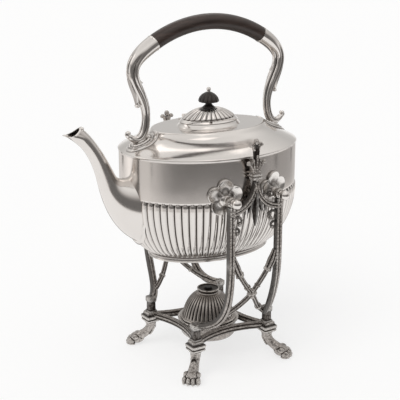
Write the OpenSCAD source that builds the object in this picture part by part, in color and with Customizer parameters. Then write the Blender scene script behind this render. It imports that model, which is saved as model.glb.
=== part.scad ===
// Spirit kettle on a four footed stand, with a hinged lid and a lift out spirit burner.
// X runs along the kettle with the spout at the low end, Z is up, the feet rest at zero height.
// Near is the low Y side and far the high Y side. Front is the spout end and rear the other end.

/* [Kettle drum] */
// Half length of the oval drum at the rim
drum_a = 101; // [94:0.5:108]
// Half width of the oval drum at the rim
drum_b = 78.5; // [74:0.5:84]
// Height of the drum wall above the base band
drum_h = 110; // [104:1:116]
// How far the rim stands out past the plain wall
rim_lip = 1; // [0.6:0.1:1.6]
// Height of the reeded lower part of the drum
reed_h = 65; // [55:1:72]
// How far the rounded bottom of the drum draws in
belly_in = 31; // [26:0.5:34]
// Height of the plain band under the reeds
band_h = 6; // [4:0.5:9]
// Thickness of the silver sheet
wall = 1.3; // [0.9:0.1:1.7]

/* [Shoulder and filler] */
// Width of the sloping shoulder
shoulder_w = 34.5; // [30:0.5:37]
// Rise of the shoulder
shoulder_rise = 13; // [10:0.5:16]
// Height of the hollow neck under the flat top
neck_h = 7; // [5:0.5:9]
// Depth of the hollow in the neck
neck_in = 2; // [1:0.1:3]
// Half length of the filler opening
filler_a = 29; // [26:0.5:31]
// Half width of the filler opening
filler_b = 19; // [17:0.5:21]
// Width of the bezel round the filler
bezel_w = 3.5; // [2.5:0.1:4.5]
// Height of the bezel
bezel_h = 4; // [3:0.1:6]

/* [Lid] */
// How far the lid reaches past the filler opening
lid_over = 5.5; // [5:0.1:7]
// Height of the plain flange of the lid
flange_h = 2.7; // [2:0.1:4]
// Height of the fluted dome above the flange
dome_h = 10.5; // [8:0.5:13]
// Depth of the rim that drops into the filler
lid_rim_h = 3; // [2:0.1:3.5]
// Space between the lid rim and the filler
lid_clear = 0.6; // [0.5:0.05:1]
// Radius of the vent hole in the flange
vent_r = 0.8; // [0.5:0.1:1.2]
// Radius of the hinge knuckles
knuckle_r = 2.2; // [1.8:0.1:2.6]
// Radius of the hinge pin
hinge_pin_r = 1; // [0.7:0.1:1.2]
// Width of the row of hinge knuckles
hinge_w = 28; // [22:1:32]

/* [Finial] */
// Radius of the carved cap of the finial
finial_r = 11; // [9.5:0.5:13]
// Height of the carved finial
finial_h = 16.5; // [15:0.5:20]
// Radius of the ball on the finial
finial_ball_r = 2.4; // [2:0.1:3]
// Radius of the screw through the finial
screw_r = 1.5; // [1.2:0.1:1.8]

/* [Spout] */
// Reach of the spout past the end of the drum
spout_len = 67.5; // [62:0.5:72]
// Height of the spout lip above the foot of the drum wall
spout_rise = 136.5; // [130:0.5:141]
// Half width of the spout where it leaves the drum
spout_root_w = 26; // [22:0.5:28]
// Half width of the spout at its lip
spout_lip_w = 6.3; // [5.5:0.1:7.5]
// Height of the strainer plate above the foot of the drum wall
strainer_up = 60; // [56:1:62]
// Radius of the strainer plate behind the spout
strainer_r = 17; // [14:0.5:19]
// Radius of one strainer hole
strainer_hole_r = 2.2; // [1.8:0.1:2.4]

/* [Handle] */
// Height of the top of the grip above the rim
handle_h = 135; // [128:1:142]
// Half distance between the two ends of the grip
grip_half = 65.3; // [62:0.1:68]
// Radius of the curve of the grip
grip_curve_r = 133; // [125:1:142]
// Radius of the wooden grip
grip_r = 8.2; // [7:0.1:9]
// Half distance between the arms where they bulge
arm_bulge = 91; // [88:0.5:94]
// Half distance between the arms at their waist
arm_waist = 75.8; // [74:0.1:78]
// Radius of the tangs inside the grip
tang_r = 3; // [2.5:0.1:3.5]
// Length of the tangs
tang_len = 15; // [12:0.5:20]
// Radius of the cross rivets of the grip
rivet_r = 1.2; // [0.9:0.1:1.5]

/* [Lugs and pins] */
// Half distance between the two pins on one side
pin_x = 29.5; // [28:0.25:31]
// Height of the pins above the floor
pivot_z = 199.5; // [195:0.5:204]
// Height of the pins above the foot of the drum wall
lug_up = 69.5; // [67:0.5:72]
// Radius of the pin shafts
pin_r = 2.2; // [1.8:0.1:2.6]
// Radius of the ball heads
ball_r = 5.2; // [4.5:0.1:5.5]
// Radius of the lug boss that takes the pin
boss_r = 5; // [4.4:0.1:5.5]
// Radius of the rosette from its centre to the petal tips
rosette_r = 19.5; // [17:0.5:20.5]
// Thickness of the rosette
rosette_t = 2; // [1.6:0.1:2.4]
// How far the rosette sits above its pin
rosette_up = 2; // [0:0.5:3]

/* [Side frames] */
// Thickness of the side frames
frame_t = 6.5; // [5.5:0.1:7.5]
// Width of the upright bars
bar_w = 6.5; // [5.5:0.1:7.5]
// Width of the quarter arcs
arc_w = 5.5; // [4.5:0.1:6.5]
// Height of the centre of the arcs above the pins
arc_up = 17.5; // [16:0.5:19]
// Height of the tip of the frame above the pins
anthemion_up = 61; // [58:0.5:64]
// Outer radius of the eye round each pin
eye_r = 5.5; // [5:0.1:6]
// Length of the leaf that hangs under the arcs
leaf_h = 38; // [32:0.5:42]
// Height at which the straight uprights start to sweep in
sweep_z = 132; // [128:0.5:136]

/* [Base] */
// Half side of the square that the corner posts stand on
post_half = 46.5; // [44:0.5:49]
// Height of the top of the base bars
base_z = 40; // [37:0.5:43]
// Depth of the base bars
base_t = 7; // [5.5:0.5:8]
// Width of the base bars
base_w = 6; // [5:0.1:7]
// How far the base bars bow in at their middle
base_bow = 12.5; // [11:0.5:13.5]
// Side of the square corner caps
cap_w = 17; // [15:0.5:19]
// Thickness of the corner caps
cap_t = 6; // [5:0.5:7]
// Side of the square corner posts
post_w = 8; // [7.5:0.5:9.5]
// Height of the corner posts above the base bars
post_h = 18; // [14:0.5:21]
// How far the paws stand outside the corner posts, along X and along Y
paw_out = 15; // [12:0.5:17]
// Half width of a paw
paw_w = 11; // [9:0.5:12]
// Height of a paw
paw_h = 14; // [12:0.5:16]

/* [Burner] */
// Radius of the wall of the burner dish
dish_r = 30.5; // [29.5:0.1:31]
// Depth of the burner dish under the base bars
dish_deep = 17; // [14:0.5:19]
// Radius of the burner bowl
bowl_r = 26.5; // [25:0.5:28.5]
// Height of the burner from its foot to the top of the bell
bell_h = 38.5; // [36:0.5:44]
// Radius of the burner collar
collar_r = 8.8; // [8:0.1:10]
// Radius of the flared burner mouth
mouth_r = 12.3; // [11.5:0.1:13.5]
// Height of the collar and the mouth together
mouth_h = 13.5; // [12:0.5:15]
// Radius of the wick
wick_r = 4.1; // [3.5:0.1:4.5]

/* [Hidden] */

// Radial clearance of a shaft that turns or slides in its hole
run_clear = 0.05;
// Space between faces of pieces that move past each other
face_gap = 0.4;
// Small extra depth of a cut that has to pass a face
cut = 0.5;
// Thickness of the solder under a soldered piece
seat_gap = 0.04;

silver = [0.80, 0.79, 0.76];
old_silver = [0.58, 0.56, 0.53];
dark_wood = [0.20, 0.14, 0.12];
cotton = [0.86, 0.83, 0.74];

// Segments round the oval shells and round the oval lid
oval_n = 64;
lid_n = 48;
// Segments round a swept bar, a swept arm and the spout
bar_n = 8;
arm_n = 12;
spout_n = 24;
// Segments round turned pieces
turn_n = 72;

// Heights that follow from the pins
wall_z = pivot_z - lug_up;
bottom_z = wall_z - band_h;
rim_z = wall_z + drum_h;
neck_z = rim_z + shoulder_rise;
top_z = neck_z + neck_h;
seat_z = top_z + bezel_h + 0.3;
dome_z = seat_z + flange_h;
lid_top_z = dome_z + dome_h;

// Half the reach of the spout moves the middle of the whole outline to the origin
home_x = spout_len / 2;

// Inner face of the side frames, and how far out the rear face of the frame lies
frame_y = drum_b + 3.5;
frame_out = frame_y + frame_t;
// Depth that the pins reach into their lugs
pin_depth = 4;
pin_tip_y = frame_y - face_gap - pin_depth;
// Depth of the drum at the lugs, and the turn of the drum's face there
wall_a = drum_a - rim_lip;
wall_b = drum_b - rim_lip;
lug_y = wall_b * sqrt(1 - pow(pin_x / wall_a, 2));
lug_turn = atan(wall_b / wall_a * pin_x / sqrt(wall_a * wall_a - pin_x * pin_x));
// Radius of the drum's own curve there
lug_curve_r = pow(pow(wall_a * lug_y / wall_b, 2) + pow(wall_b * pin_x / wall_a, 2), 1.5) / (wall_a * wall_b);

hinge_y = filler_b + lid_over + 4.5;
hinge_z = seat_z + 0.7;

// Corners of the base: flat caps under the bars and square blocks round their ends
cap_half = post_half + 0.5;
cap_z = base_z - base_t;
block_w = post_w + 3;
block_z = base_z + 0.8;

function flatten(list) = [for (row = list) each row];
function unit(v) = v / norm(v);
function bezier(p, t) = pow(1 - t, 3) * p[0] + 3 * t * pow(1 - t, 2) * p[1]
    + 3 * t * t * (1 - t) * p[2] + pow(t, 3) * p[3];
function bezier_slope(p, t) = 3 * pow(1 - t, 2) * (p[1] - p[0]) + 6 * t * (1 - t) * (p[2] - p[1])
    + 3 * t * t * (p[3] - p[2]);
function steps(n) = [for (i = [0 : n]) i / n];

// One level ring of an oval
function oval(a, b, z, n) = [for (i = [0 : n - 1]) [a * cos(360 * i / n), b * sin(360 * i / n), z]];
// One level ring of the drum, drawn in by d
function drum_ring(d, z) = oval(drum_a - d, drum_b - d, z, oval_n);
// One ring across a path at p that heads along t, with half sizes h and w. Side is the direction of w.
function cross_ring(p, t, side, h, w, n) =
    let (s = unit(side - (side * unit(t)) * unit(t)), u = cross(s, unit(t)))
    [for (i = [0 : n - 1]) p + h * cos(360 * i / n) * u + w * sin(360 * i / n) * s];

// A skin over rings of equal count, with flat ends, or closed on itself when looped
module loft(rings, looped = false) {
    n = len(rings[0]);
    m = len(rings);
    sides = [
        for (k = [0 : (looped ? m : m - 1) - 1], i = [0 : n - 1], half = [0, 1])
            let (a = k * n, b = ((k + 1) % m) * n, j = (i + 1) % n)
            half == 0 ? [a + i, b + i, b + j] : [a + i, b + j, a + j]
    ];
    ends = looped ? [] : [[for (i = [0 : n - 1]) i], [for (i = [n - 1 : -1 : 0]) (m - 1) * n + i]];
    polyhedron(points = flatten(rings), faces = concat(sides, ends), convexity = 6);
}

// Moves the part so that the middle of its outline stands at the origin
module home() {
    translate([home_x, 0, 0]) children();
}

// Mirrors a piece drawn at the rear far corner to the corner that end and side name
module corner(end, side) {
    mirror([end < 0 ? 1 : 0, 0, 0]) mirror([0, side < 0 ? 1 : 0, 0]) children();
}

// A flat shape drawn in X and Z, standing on the far side between two depths
module standing(y0, y1) {
    translate([0, y1, 0]) rotate([90, 0, 0]) linear_extrude(y1 - y0) children();
}

// A rod along Y between two depths
module rod_y(x, z, r, y0, y1) {
    translate([x, y0, z]) rotate([-90, 0, 0]) cylinder(r = r, h = y1 - y0, $fn = 48);
}

// Profile of the drum from its foot to the rim, as inward distance and height
belly = [
    [belly_in, 0], [0.4 * belly_in, 0.15 * reed_h], [rim_lip + 0.6, 0.54 * reed_h], [rim_lip, 0.89 * reed_h]
];
drum_profile = concat(
    [for (t = steps(7)) bezier(belly, t) + [0, wall_z]],
    [[rim_lip, rim_z - 3], [0, rim_z - 1.5], [0, rim_z]]
);
function drum_rings(inset) = [for (p = drum_profile) drum_ring(p[0] + inset, p[1])];
function reversed(list) = [for (i = [len(list) - 1 : -1 : 0]) list[i]];

module drum_core() {
    loft(drum_rings(0));
}

// The strainer plate is the round piece of the drum wall behind the spout
strainer_z = wall_z + strainer_up;
strainer_reach = 0.3 * drum_a;
module along_strainer(y, z, r, n) {
    translate([-1.05 * drum_a, y, z]) rotate([0, 90, 0]) cylinder(r = r, h = strainer_reach, $fn = n);
}

module kettle_drum() color(silver) home() {
    difference() {
        loft(concat(drum_rings(0), reversed(drum_rings(wall))), looped = true);
        along_strainer(0, strainer_z, strainer_r, 48);
    }
}

module spout_strainer() color(silver) home() {
    pitch = 2.9 * strainer_hole_r;
    difference() {
        intersection() {
            loft(concat(drum_rings(0), reversed(drum_rings(wall))), looped = true);
            along_strainer(0, strainer_z, strainer_r, 48);
        }
        for (ring = [0 : 2], k = [0 : max(1, 6 * ring) - 1])
            along_strainer(pitch * ring * cos(60 * k / max(1, ring)),
                strainer_z + pitch * ring * sin(60 * k / max(1, ring)), strainer_hole_r, 24);
    }
}

// Pan that closes the drum, with the plain band as its wall
module kettle_base() color(silver) home() {
    lean = 2.5;
    loft([
        drum_ring(belly_in + lean + 0.6, bottom_z),
        drum_ring(belly_in + lean, bottom_z + 1),
        drum_ring(belly_in, wall_z),
        drum_ring(belly_in + wall, wall_z),
        drum_ring(belly_in + lean + wall, bottom_z + wall + 1),
        drum_ring(belly_in + lean + wall + 1, bottom_z + wall)
    ]);
}

// Outer profile of the shoulder from the rim to the edge of the flat top
shoulder_profile = [
    [0, rim_z], [0, rim_z + 0.8], [1, rim_z + 1.6], [0.36 * shoulder_w, rim_z + 0.52 * shoulder_rise],
    [0.7 * shoulder_w, rim_z + 0.84 * shoulder_rise], [shoulder_w, neck_z],
    [shoulder_w + neck_in, neck_z + 0.3 * neck_h], [shoulder_w + 0.6 * neck_in, neck_z + 0.75 * neck_h],
    [shoulder_w, top_z - 0.8], [shoulder_w, top_z]
];

module shoulder_core() {
    loft([for (p = shoulder_profile) drum_ring(p[0], p[1])]);
}

module kettle_shoulder() color(silver) home() {
    under = neck_in + wall;
    loft(concat(
        [for (p = shoulder_profile) drum_ring(p[0], p[1])],
        [oval(filler_a, filler_b, top_z, oval_n), oval(filler_a, filler_b, top_z - wall, oval_n)],
        [
            drum_ring(shoulder_w + under, top_z - wall),
            drum_ring(shoulder_w + under, neck_z + 0.1 * neck_h),
            drum_ring(shoulder_w + 0.5, neck_z - wall),
            drum_ring(0.7 * shoulder_w, rim_z + 0.84 * shoulder_rise - 1.1 * wall),
            drum_ring(0.36 * shoulder_w, rim_z + 0.52 * shoulder_rise - 1.1 * wall),
            drum_ring(wall, rim_z)
        ]
    ), looped = true);
}

module filler_bezel() color(silver) home() {
    loft([
        oval(filler_a + bezel_w, filler_b + bezel_w, top_z, lid_n),
        oval(filler_a + bezel_w - 1, filler_b + bezel_w - 1, top_z + 0.6 * bezel_h, lid_n),
        oval(filler_a + bezel_w - 0.6, filler_b + bezel_w - 0.6, top_z + bezel_h, lid_n),
        oval(filler_a, filler_b, top_z + bezel_h, lid_n),
        oval(filler_a, filler_b, top_z, lid_n)
    ], looped = true);
}

// Edges of the swan neck in its middle plane, as distance past the drum end and height above the drum foot
spout_low = [[-22, 12], [5, 20], [21, 46], [29.5, 78]];
spout_low_tip = [spout_low[3], [35, 102], [42, 126], [spout_len, spout_rise]];
spout_top = [[-17, 85.5], [3, 85.5], [9, 84], [13, 92]];
spout_top_tip = [spout_top[3], [21, 108], [33, 132], [spout_len - 19, spout_rise + 7]];
spout_width = [spout_root_w, 0.9 * spout_root_w, 13, 10];
spout_width_tip = [10, 7.5, 5.8, spout_lip_w];

// One ring of the spout between a low and a top point of its edges, thinned by a wall
function spout_ring(low, top, w, thin) =
    let (mid = (low + top) / 2, half = (top - low) / 2 * (1 - thin[0] / norm(top - low) * 2))
    [for (i = [0 : spout_n - 1])
        [-drum_a - mid[0] - half[0] * cos(360 * i / spout_n), (w - thin[1]) * sin(360 * i / spout_n),
            wall_z + mid[1] + half[1] * cos(360 * i / spout_n)]];
function spout_rings(thin) = concat(
    [for (t = steps(6)) spout_ring(bezier(spout_low, t), bezier(spout_top, t), bezier(spout_width, t),
        [thin, thin])],
    [for (i = [1 : 7]) let (t = i / 7)
        spout_ring(bezier(spout_low_tip, t), bezier(spout_top_tip, t), bezier(spout_width_tip, t),
            [thin * (1 + 0.7 * t), thin])]
);

module spout() color(silver) home() {
    inner = spout_rings(wall);
    last = inner[len(inner) - 1];
    past = [for (p = last) p + [-2, 0, 2]];
    difference() {
        loft(spout_rings(0));
        loft(concat([[for (p = inner[0]) p + [2, 0, 0]]], [for (i = [1 : len(inner) - 1]) inner[i]], [past]));
        drum_core();
    }
}

// Round path that a rear pin follows in its lug when the kettle tilts about the front pins
module pin_path() {
    r = 2 * pin_x;
    c = pin_r + run_clear;
    turn = 25;
    translate([-pin_x, pivot_z]) intersection() {
        difference() {
            circle(r + c, $fn = 180);
            circle(r - c, $fn = 180);
        }
        polygon([[0, 0], [1.3 * r, 0], [1.3 * r, -1.3 * r * tan(turn)]]);
    }
    translate([pin_x, pivot_z]) circle(c, $fn = 48);
}

// Places a piece drawn flat on the drum's face at a lug, with its Z pointing out of the drum
module on_drum(end) {
    translate([end * pin_x, lug_y, pivot_z]) rotate([-90, 0, -end * lug_turn]) children();
}

// Rosette of five petals with a boss, soldered to the drum. The rear ones are open below.
module lug(end, side) color(silver) home() corner(1, side) {
    petals = 5;
    petal_r = 0.44 * rosette_r;
    back = 3;
    difference() {
        union() {
            rod_y(end * pin_x, pivot_z, boss_r, lug_y - back, frame_y - face_gap);
            on_drum(end) translate([0, -rosette_up, -back]) {
                linear_extrude(rosette_t + back) {
                    circle(r = 0.6 * rosette_r, $fn = turn_n);
                    for (k = [0 : petals - 1]) rotate(-90 + 360 * k / petals)
                        translate([rosette_r - petal_r, 0]) circle(r = petal_r, $fn = 48);
                }
                cylinder(r = 0.5 * rosette_r, h = rosette_t + back + 0.8, $fn = turn_n);
            }
        }
        on_drum(end) translate([0, 0, seat_gap - lug_curve_r]) rotate([90, 0, 0])
            cylinder(r = lug_curve_r, h = 4 * rosette_r, center = true, $fn = 360);
        if (end < 0) rod_y(end * pin_x, pivot_z, pin_r + run_clear, pin_tip_y - 0.3, frame_y + cut);
        if (end > 0) standing(pin_tip_y - 0.3, frame_y + cut) pin_path();
    }
}

module pivot_pin(end, side) color(silver) home() corner(end, side) {
    rod_y(pin_x, pivot_z, pin_r, pin_tip_y, frame_out + 2);
    rod_y(pin_x, pivot_z, pin_r + 1.2, frame_out + 0.3, frame_out + 1.6);
    translate([pin_x, frame_out + 1 + ball_r, pivot_z]) sphere(r = ball_r, $fn = 48);
}

// Handle. The grip is an arc about a centre on the middle plane, and the arms start square to its ends.
grip_top_z = rim_z + handle_h;
grip_centre_z = grip_top_z - grip_r - grip_curve_r;
grip_turn = asin(grip_half / grip_curve_r);
grip_end = [grip_half, grip_centre_z + grip_curve_r * cos(grip_turn)];
grip_dir = [cos(grip_turn), -sin(grip_turn)];
bulge_z = rim_z + 82;
waist_z = rim_z + 36;
arm_foot = [drum_a - 5, rim_z + 17.5];
arm_paths = [
    [grip_end, grip_end + 16 * grip_dir, [arm_bulge, bulge_z + 11], [arm_bulge, bulge_z]],
    [[arm_bulge, bulge_z], [arm_bulge, bulge_z - 14], [arm_waist, waist_z + 20], [arm_waist, waist_z]],
    [[arm_waist, waist_z], [arm_waist, waist_z - 18], [arm_waist + 9, rim_z + 7.5], arm_foot]
];
arm_sizes = [[grip_r, grip_r, 6, 5.4], [5.4, 5.8, 5.2, 4.2], [4.2, 4.8, 5, 2.4]];

function arm_rings(part, from) = [
    for (i = [from : 7]) let (t = i / 7, p = bezier(arm_paths[part], t), d = bezier_slope(arm_paths[part], t))
        cross_ring([p[0], 0, p[1]], [d[0], 0, d[1]], [0, 1, 0], bezier(arm_sizes[part], t),
            1.1 * bezier(arm_sizes[part], t) - 0.1 * grip_r * (part == 0 ? 1 - t : 0), arm_n)
];

module arm_body() {
    loft(concat(arm_rings(0, 0), arm_rings(1, 1), arm_rings(2, 1)));
}

// A rod along the end of the grip, from a distance inside the grip to a distance outside it
module along_grip_end(r, inside, outside) {
    translate([grip_end[0], 0, grip_end[1]]) rotate([0, 90 + grip_turn, 0])
        translate([0, 0, -inside]) cylinder(r = r, h = inside + outside, $fn = 48);
}

rivet_in = 7;
module rivet_at(r, half) {
    p = grip_end - rivet_in * grip_dir;
    rod_y(p[0], p[1], r, -half, half);
}

module handle_arm(end) color(silver) home() corner(end, 1) {
    difference() {
        union() {
            arm_body();
            along_grip_end(tang_r, tang_len, 2);
        }
        rivet_at(rivet_r + run_clear, grip_r);
        shoulder_core();
    }
}

// Fan shaped plate that spreads the foot of the arm over the shoulder
plate_a = 17;
plate_b = 14;
plate_x = drum_a - 3 - plate_a;
module handle_plate(end) color(silver) home() corner(end, 1) {
    slope = atan(shoulder_rise / shoulder_w);
    difference() {
        translate([plate_x, 0, rim_z + shoulder_rise * (drum_a - plate_x) / shoulder_w + 1]) rotate([0, slope, 0])
            loft([
                oval(plate_a, plate_b, -1.2, 32), oval(plate_a, plate_b, 1, 32),
                oval(0.78 * plate_a, 0.78 * plate_b, 2.6, 32), oval(0.42 * plate_a, 0.42 * plate_b, 4, 32)
            ]);
        shoulder_core();
        arm_body();
    }
}

module handle_grip() color(dark_wood) home() {
    difference() {
        translate([0, 0, grip_centre_z]) rotate([90, 0, 0]) rotate([0, 0, 90 - grip_turn])
            rotate_extrude(angle = 2 * grip_turn, $fn = 180)
                translate([grip_curve_r, 0]) circle(grip_r, $fn = 48);
        for (end = [-1, 1]) corner(end, 1) {
            along_grip_end(tang_r + run_clear, tang_len + 0.5, 2);
            rivet_at(rivet_r + run_clear, grip_r + 1);
        }
    }
}

module grip_rivets() color(silver) home() {
    for (end = [-1, 1]) corner(end, 1) rivet_at(rivet_r, grip_r - 0.1);
}

// Hinge of the lid. The two outer knuckles stand on a leaf on the flat top, the middle one is on the lid.
lid_knuckle_w = hinge_w / 3;
module knuckle(x0, x1) {
    translate([x0, hinge_y, hinge_z]) rotate([0, 90, 0]) cylinder(r = knuckle_r, h = x1 - x0, $fn = 48);
}
module hinge_bore() {
    translate([-hinge_w, hinge_y, hinge_z]) rotate([0, 90, 0])
        cylinder(r = hinge_pin_r + run_clear, h = 2 * hinge_w, $fn = 48);
}

module hinge_leaf() color(silver) home() {
    leaf_t = 1.2;
    leaf_d = 11;
    difference() {
        union() {
            for (e = [-1, 1]) {
                x0 = e < 0 ? -hinge_w / 2 : lid_knuckle_w / 2 + 0.2;
                x1 = e < 0 ? -lid_knuckle_w / 2 - 0.2 : hinge_w / 2;
                knuckle(x0, x1);
                translate([x0, hinge_y - 1.5, top_z]) cube([x1 - x0, 3, hinge_z - top_z]);
            }
            translate([-hinge_w / 2, hinge_y - 2, top_z]) cube([hinge_w, leaf_d, leaf_t]);
        }
        hinge_bore();
        knuckle(-lid_knuckle_w / 2 - 0.2, lid_knuckle_w / 2 + 0.2);
    }
}

module hinge_pin() color(silver) home() {
    translate([-hinge_w / 2, hinge_y, hinge_z]) rotate([0, 90, 0])
        cylinder(r = hinge_pin_r, h = hinge_w, $fn = 48);
}

// Lid. The flange and the dome are one shell, drawn from rings that keep the filler's proportion.
lid_a = filler_a + lid_over;
lid_b = filler_b + lid_over;
dome_a = lid_a - 4;
dome_b = lid_b - 4;
dome_top_a = 7;
dome_top_b = 6.6;
function dome_ring(turn, thin) = oval(
    dome_top_a + (dome_a - thin - dome_top_a) * cos(turn), dome_top_b + (dome_b - thin - dome_top_b) * cos(turn),
    dome_z + (dome_h - thin) * sin(turn), lid_n);
lid_outer = concat(
    [oval(lid_a, lid_b, seat_z, lid_n), oval(lid_a, lid_b, seat_z + 1, lid_n),
        oval(lid_a - 1.5, lid_b - 1.5, seat_z + 0.8 * flange_h, lid_n)],
    [for (turn = [0 : 15 : 90]) dome_ring(turn, 0)]
);

module lid_core() {
    loft(lid_outer);
}

module lid_dome() color(silver) home() {
    rim_a = filler_a - lid_clear;
    rim_b = filler_b - lid_clear;
    difference() {
        loft(concat(
            [for (turn = [90 : -15 : 0]) dome_ring(turn, wall)],
            [oval(rim_a - wall, rim_b - wall, seat_z, lid_n)],
            lid_outer
        ));
        cylinder(r = screw_r + 0.1, h = 2 * lid_top_z, $fn = 24);
        translate([-12, -lid_b + 2.2, dome_z - flange_h / 2]) rotate([70, 0, 0])
            cylinder(r = vent_r, h = 8, center = true, $fn = 24);
    }
}

module lid_rim() color(silver) home() {
    rim_a = filler_a - lid_clear;
    rim_b = filler_b - lid_clear;
    loft([
        oval(rim_a - 0.4, rim_b - 0.4, seat_z - lid_rim_h, lid_n),
        oval(rim_a, rim_b, seat_z, lid_n),
        oval(rim_a - wall, rim_b - wall, seat_z, lid_n),
        oval(rim_a - wall - 0.2, rim_b - wall - 0.2, seat_z - lid_rim_h, lid_n)
    ], looped = true);
}

module lid_knuckle() color(silver) home() {
    difference() {
        union() {
            knuckle(-lid_knuckle_w / 2, lid_knuckle_w / 2);
            translate([-lid_knuckle_w / 2, lid_b - 2, hinge_z - 0.4])
                cube([lid_knuckle_w, hinge_y - lid_b + 2, 1.6]);
        }
        hinge_bore();
        lid_core();
    }
}

module finial_cap() color(dark_wood) home() {
    neck_r = 0.33 * finial_r;
    translate([0, 0, lid_top_z]) rotate_extrude($fn = turn_n) difference() {
        polygon(concat(
            [[0, 0], [dome_top_b - 0.1, 0], [dome_top_b - 0.6, 1.2], [neck_r, 0.26 * finial_h],
                [neck_r, 0.34 * finial_h], [0.75 * finial_r, 0.4 * finial_h]],
            [for (t = [-20 : 10 : 75]) [2.4 + (finial_r - 2.4) * cos(t), (0.48 + 0.5 * sin(t)) * finial_h]],
            [[2.4, finial_h], [0, finial_h]]
        ));
        translate([-1, -1]) square([1 + screw_r + run_clear, finial_h + 2]);
    }
}

module finial_screw() color(silver) home() {
    shank_z = lid_top_z - wall - 4;
    translate([0, 0, shank_z]) cylinder(r = screw_r, h = lid_top_z + finial_h + 1 - shank_z, $fn = 24);
    translate([0, 0, lid_top_z + finial_h]) cylinder(r = 0.75 * finial_ball_r, h = 1, $fn = 24);
    translate([0, 0, lid_top_z + finial_h + 0.3 + finial_ball_r]) sphere(r = finial_ball_r, $fn = 32);
}

module finial_nut() color(silver) home() {
    nut_h = 2.6;
    translate([0, 0, lid_top_z - wall - nut_h]) difference() {
        cylinder(r = 3.6, h = nut_h, $fn = 6);
        translate([0, 0, -1]) cylinder(r = screw_r + run_clear, h = nut_h + 2, $fn = 24);
    }
}

// Stand. The lower uprights sweep in from the side frames and turn level onto the corner posts.
frame_mid_y = frame_y + frame_t / 2;
sweep_end_z = block_z + post_h - 3;
sweep_x = post_half - 1.5 - pin_x;
sweep_y = post_half - frame_mid_y;
sweep_path = [
    [pin_x, frame_mid_y, sweep_z],
    [pin_x, frame_mid_y, sweep_z - 47],
    [pin_x - 0.4 * sweep_x, frame_mid_y + 0.41 * sweep_y, sweep_end_z + 2],
    [pin_x + sweep_x, frame_mid_y + sweep_y, sweep_end_z]
];

// Eight cornered outline of a bar with trimmed edges, across a path
function bar_ring(p, t, side, half_w, half_t) =
    let (s = unit(side - (side * unit(t)) * unit(t)), u = cross(s, unit(t)), k = 0.7)
    [for (c = [[1, k], [k, 1], [-k, 1], [-1, k], [-1, -k], [-k, -1], [k, -1], [1, -k]])
        p + c[0] * half_t * u + c[1] * half_w * s];

// The broad side of the bar turns from along X to across the sweep on its way down
module upright_bar() {
    loft([for (t = steps(12))
        bar_ring(bezier(sweep_path, t), bezier_slope(sweep_path, t), [1, -0.9 * t, 0], bar_w / 2, frame_t / 2)]);
}

module upright(end, side) color(old_silver) home() corner(end, side) {
    upright_bar();
    translate([post_half - post_w / 2, post_half - post_w / 2, block_z]) cube([post_w, post_w, post_h]);
}

arc_z = pivot_z + arc_up;
arc_foot_z = arc_z - pin_x;
stem_z = arc_z + 7;
tip_z = pivot_z + anthemion_up;

// Outline of one side frame above the sweep: straight uprights, arcs, eyes, stem and anthemion
module frame_outline() {
    lobe_r = 2.6;
    lobe_x = 4.2;
    tip_r = 2.8;
    for (e = [-1, 1]) {
        translate([e * pin_x - bar_w / 2, sweep_z]) square([bar_w, arc_foot_z - sweep_z]);
        intersection() {
            translate([e * pin_x, arc_z]) difference() {
                circle(pin_x + arc_w / 2, $fn = 180);
                circle(pin_x - arc_w / 2, $fn = 180);
            }
            translate([e < 0 ? -pin_x : -arc_w / 2, arc_foot_z - arc_w])
                square([pin_x + arc_w / 2, pin_x + arc_w + 1]);
        }
        translate([e * pin_x, pivot_z]) circle(eye_r, $fn = 60);
        translate([e * pin_x - bar_w / 2, arc_foot_z]) square([bar_w, pivot_z - arc_foot_z]);
        translate([e * 9.3, tip_z - 24.5]) circle(2.6, $fn = 32);
        polygon([[e * 2.4, stem_z - 2], [e * 4.4, stem_z - 2], [e * 10.5, tip_z - 25.5], [e * 8, tip_z - 24]]);
        translate([e * lobe_x, tip_z - 6]) circle(lobe_r, $fn = 32);
    }
    polygon([[-4.2, arc_z - 2], [4.2, arc_z - 2], [3.2, tip_z - 9], [4, tip_z - 4.5],
        [-4, tip_z - 4.5], [-3.2, tip_z - 9]]);
    translate([0, tip_z - tip_r]) circle(tip_r, $fn = 40);
}

// Leaf under the arcs and the small scrolls beside the uprights
module frame_trim_outline() {
    leaf_w = 4.9;
    leaf_r = (leaf_h * leaf_h / 4 + leaf_w * leaf_w) / (2 * leaf_w);
    leaf_mid = arc_foot_z + 20 - leaf_h / 2;
    intersection() {
        translate([leaf_r - leaf_w, leaf_mid]) circle(leaf_r, $fn = 120);
        translate([leaf_w - leaf_r, leaf_mid]) circle(leaf_r, $fn = 120);
    }
    for (e = [-1, 1], scroll = [[5.2, 2.9, 10], [3.8, 1.9, 18.6]])
        translate([e * (pin_x - bar_w / 2 - scroll[0] + 0.8), arc_foot_z - scroll[2]]) difference() {
            circle(scroll[0], $fn = 40);
            circle(scroll[1], $fn = 40);
        }
}

module side_frame(side) color(old_silver) home() corner(1, side) {
    band_out = 0.6;
    difference() {
        union() {
            standing(frame_y, frame_out) frame_outline();
            standing(frame_y + 1.5, frame_out - 0.5) frame_trim_outline();
            standing(frame_y, frame_out + band_out) translate([-5.6, arc_z + 2]) square([11.2, 4.6]);
        }
        for (e = [-1, 1]) rod_y(e * pin_x, pivot_z, pin_r + run_clear, frame_y - cut, frame_out + cut);
    }
}

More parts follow.
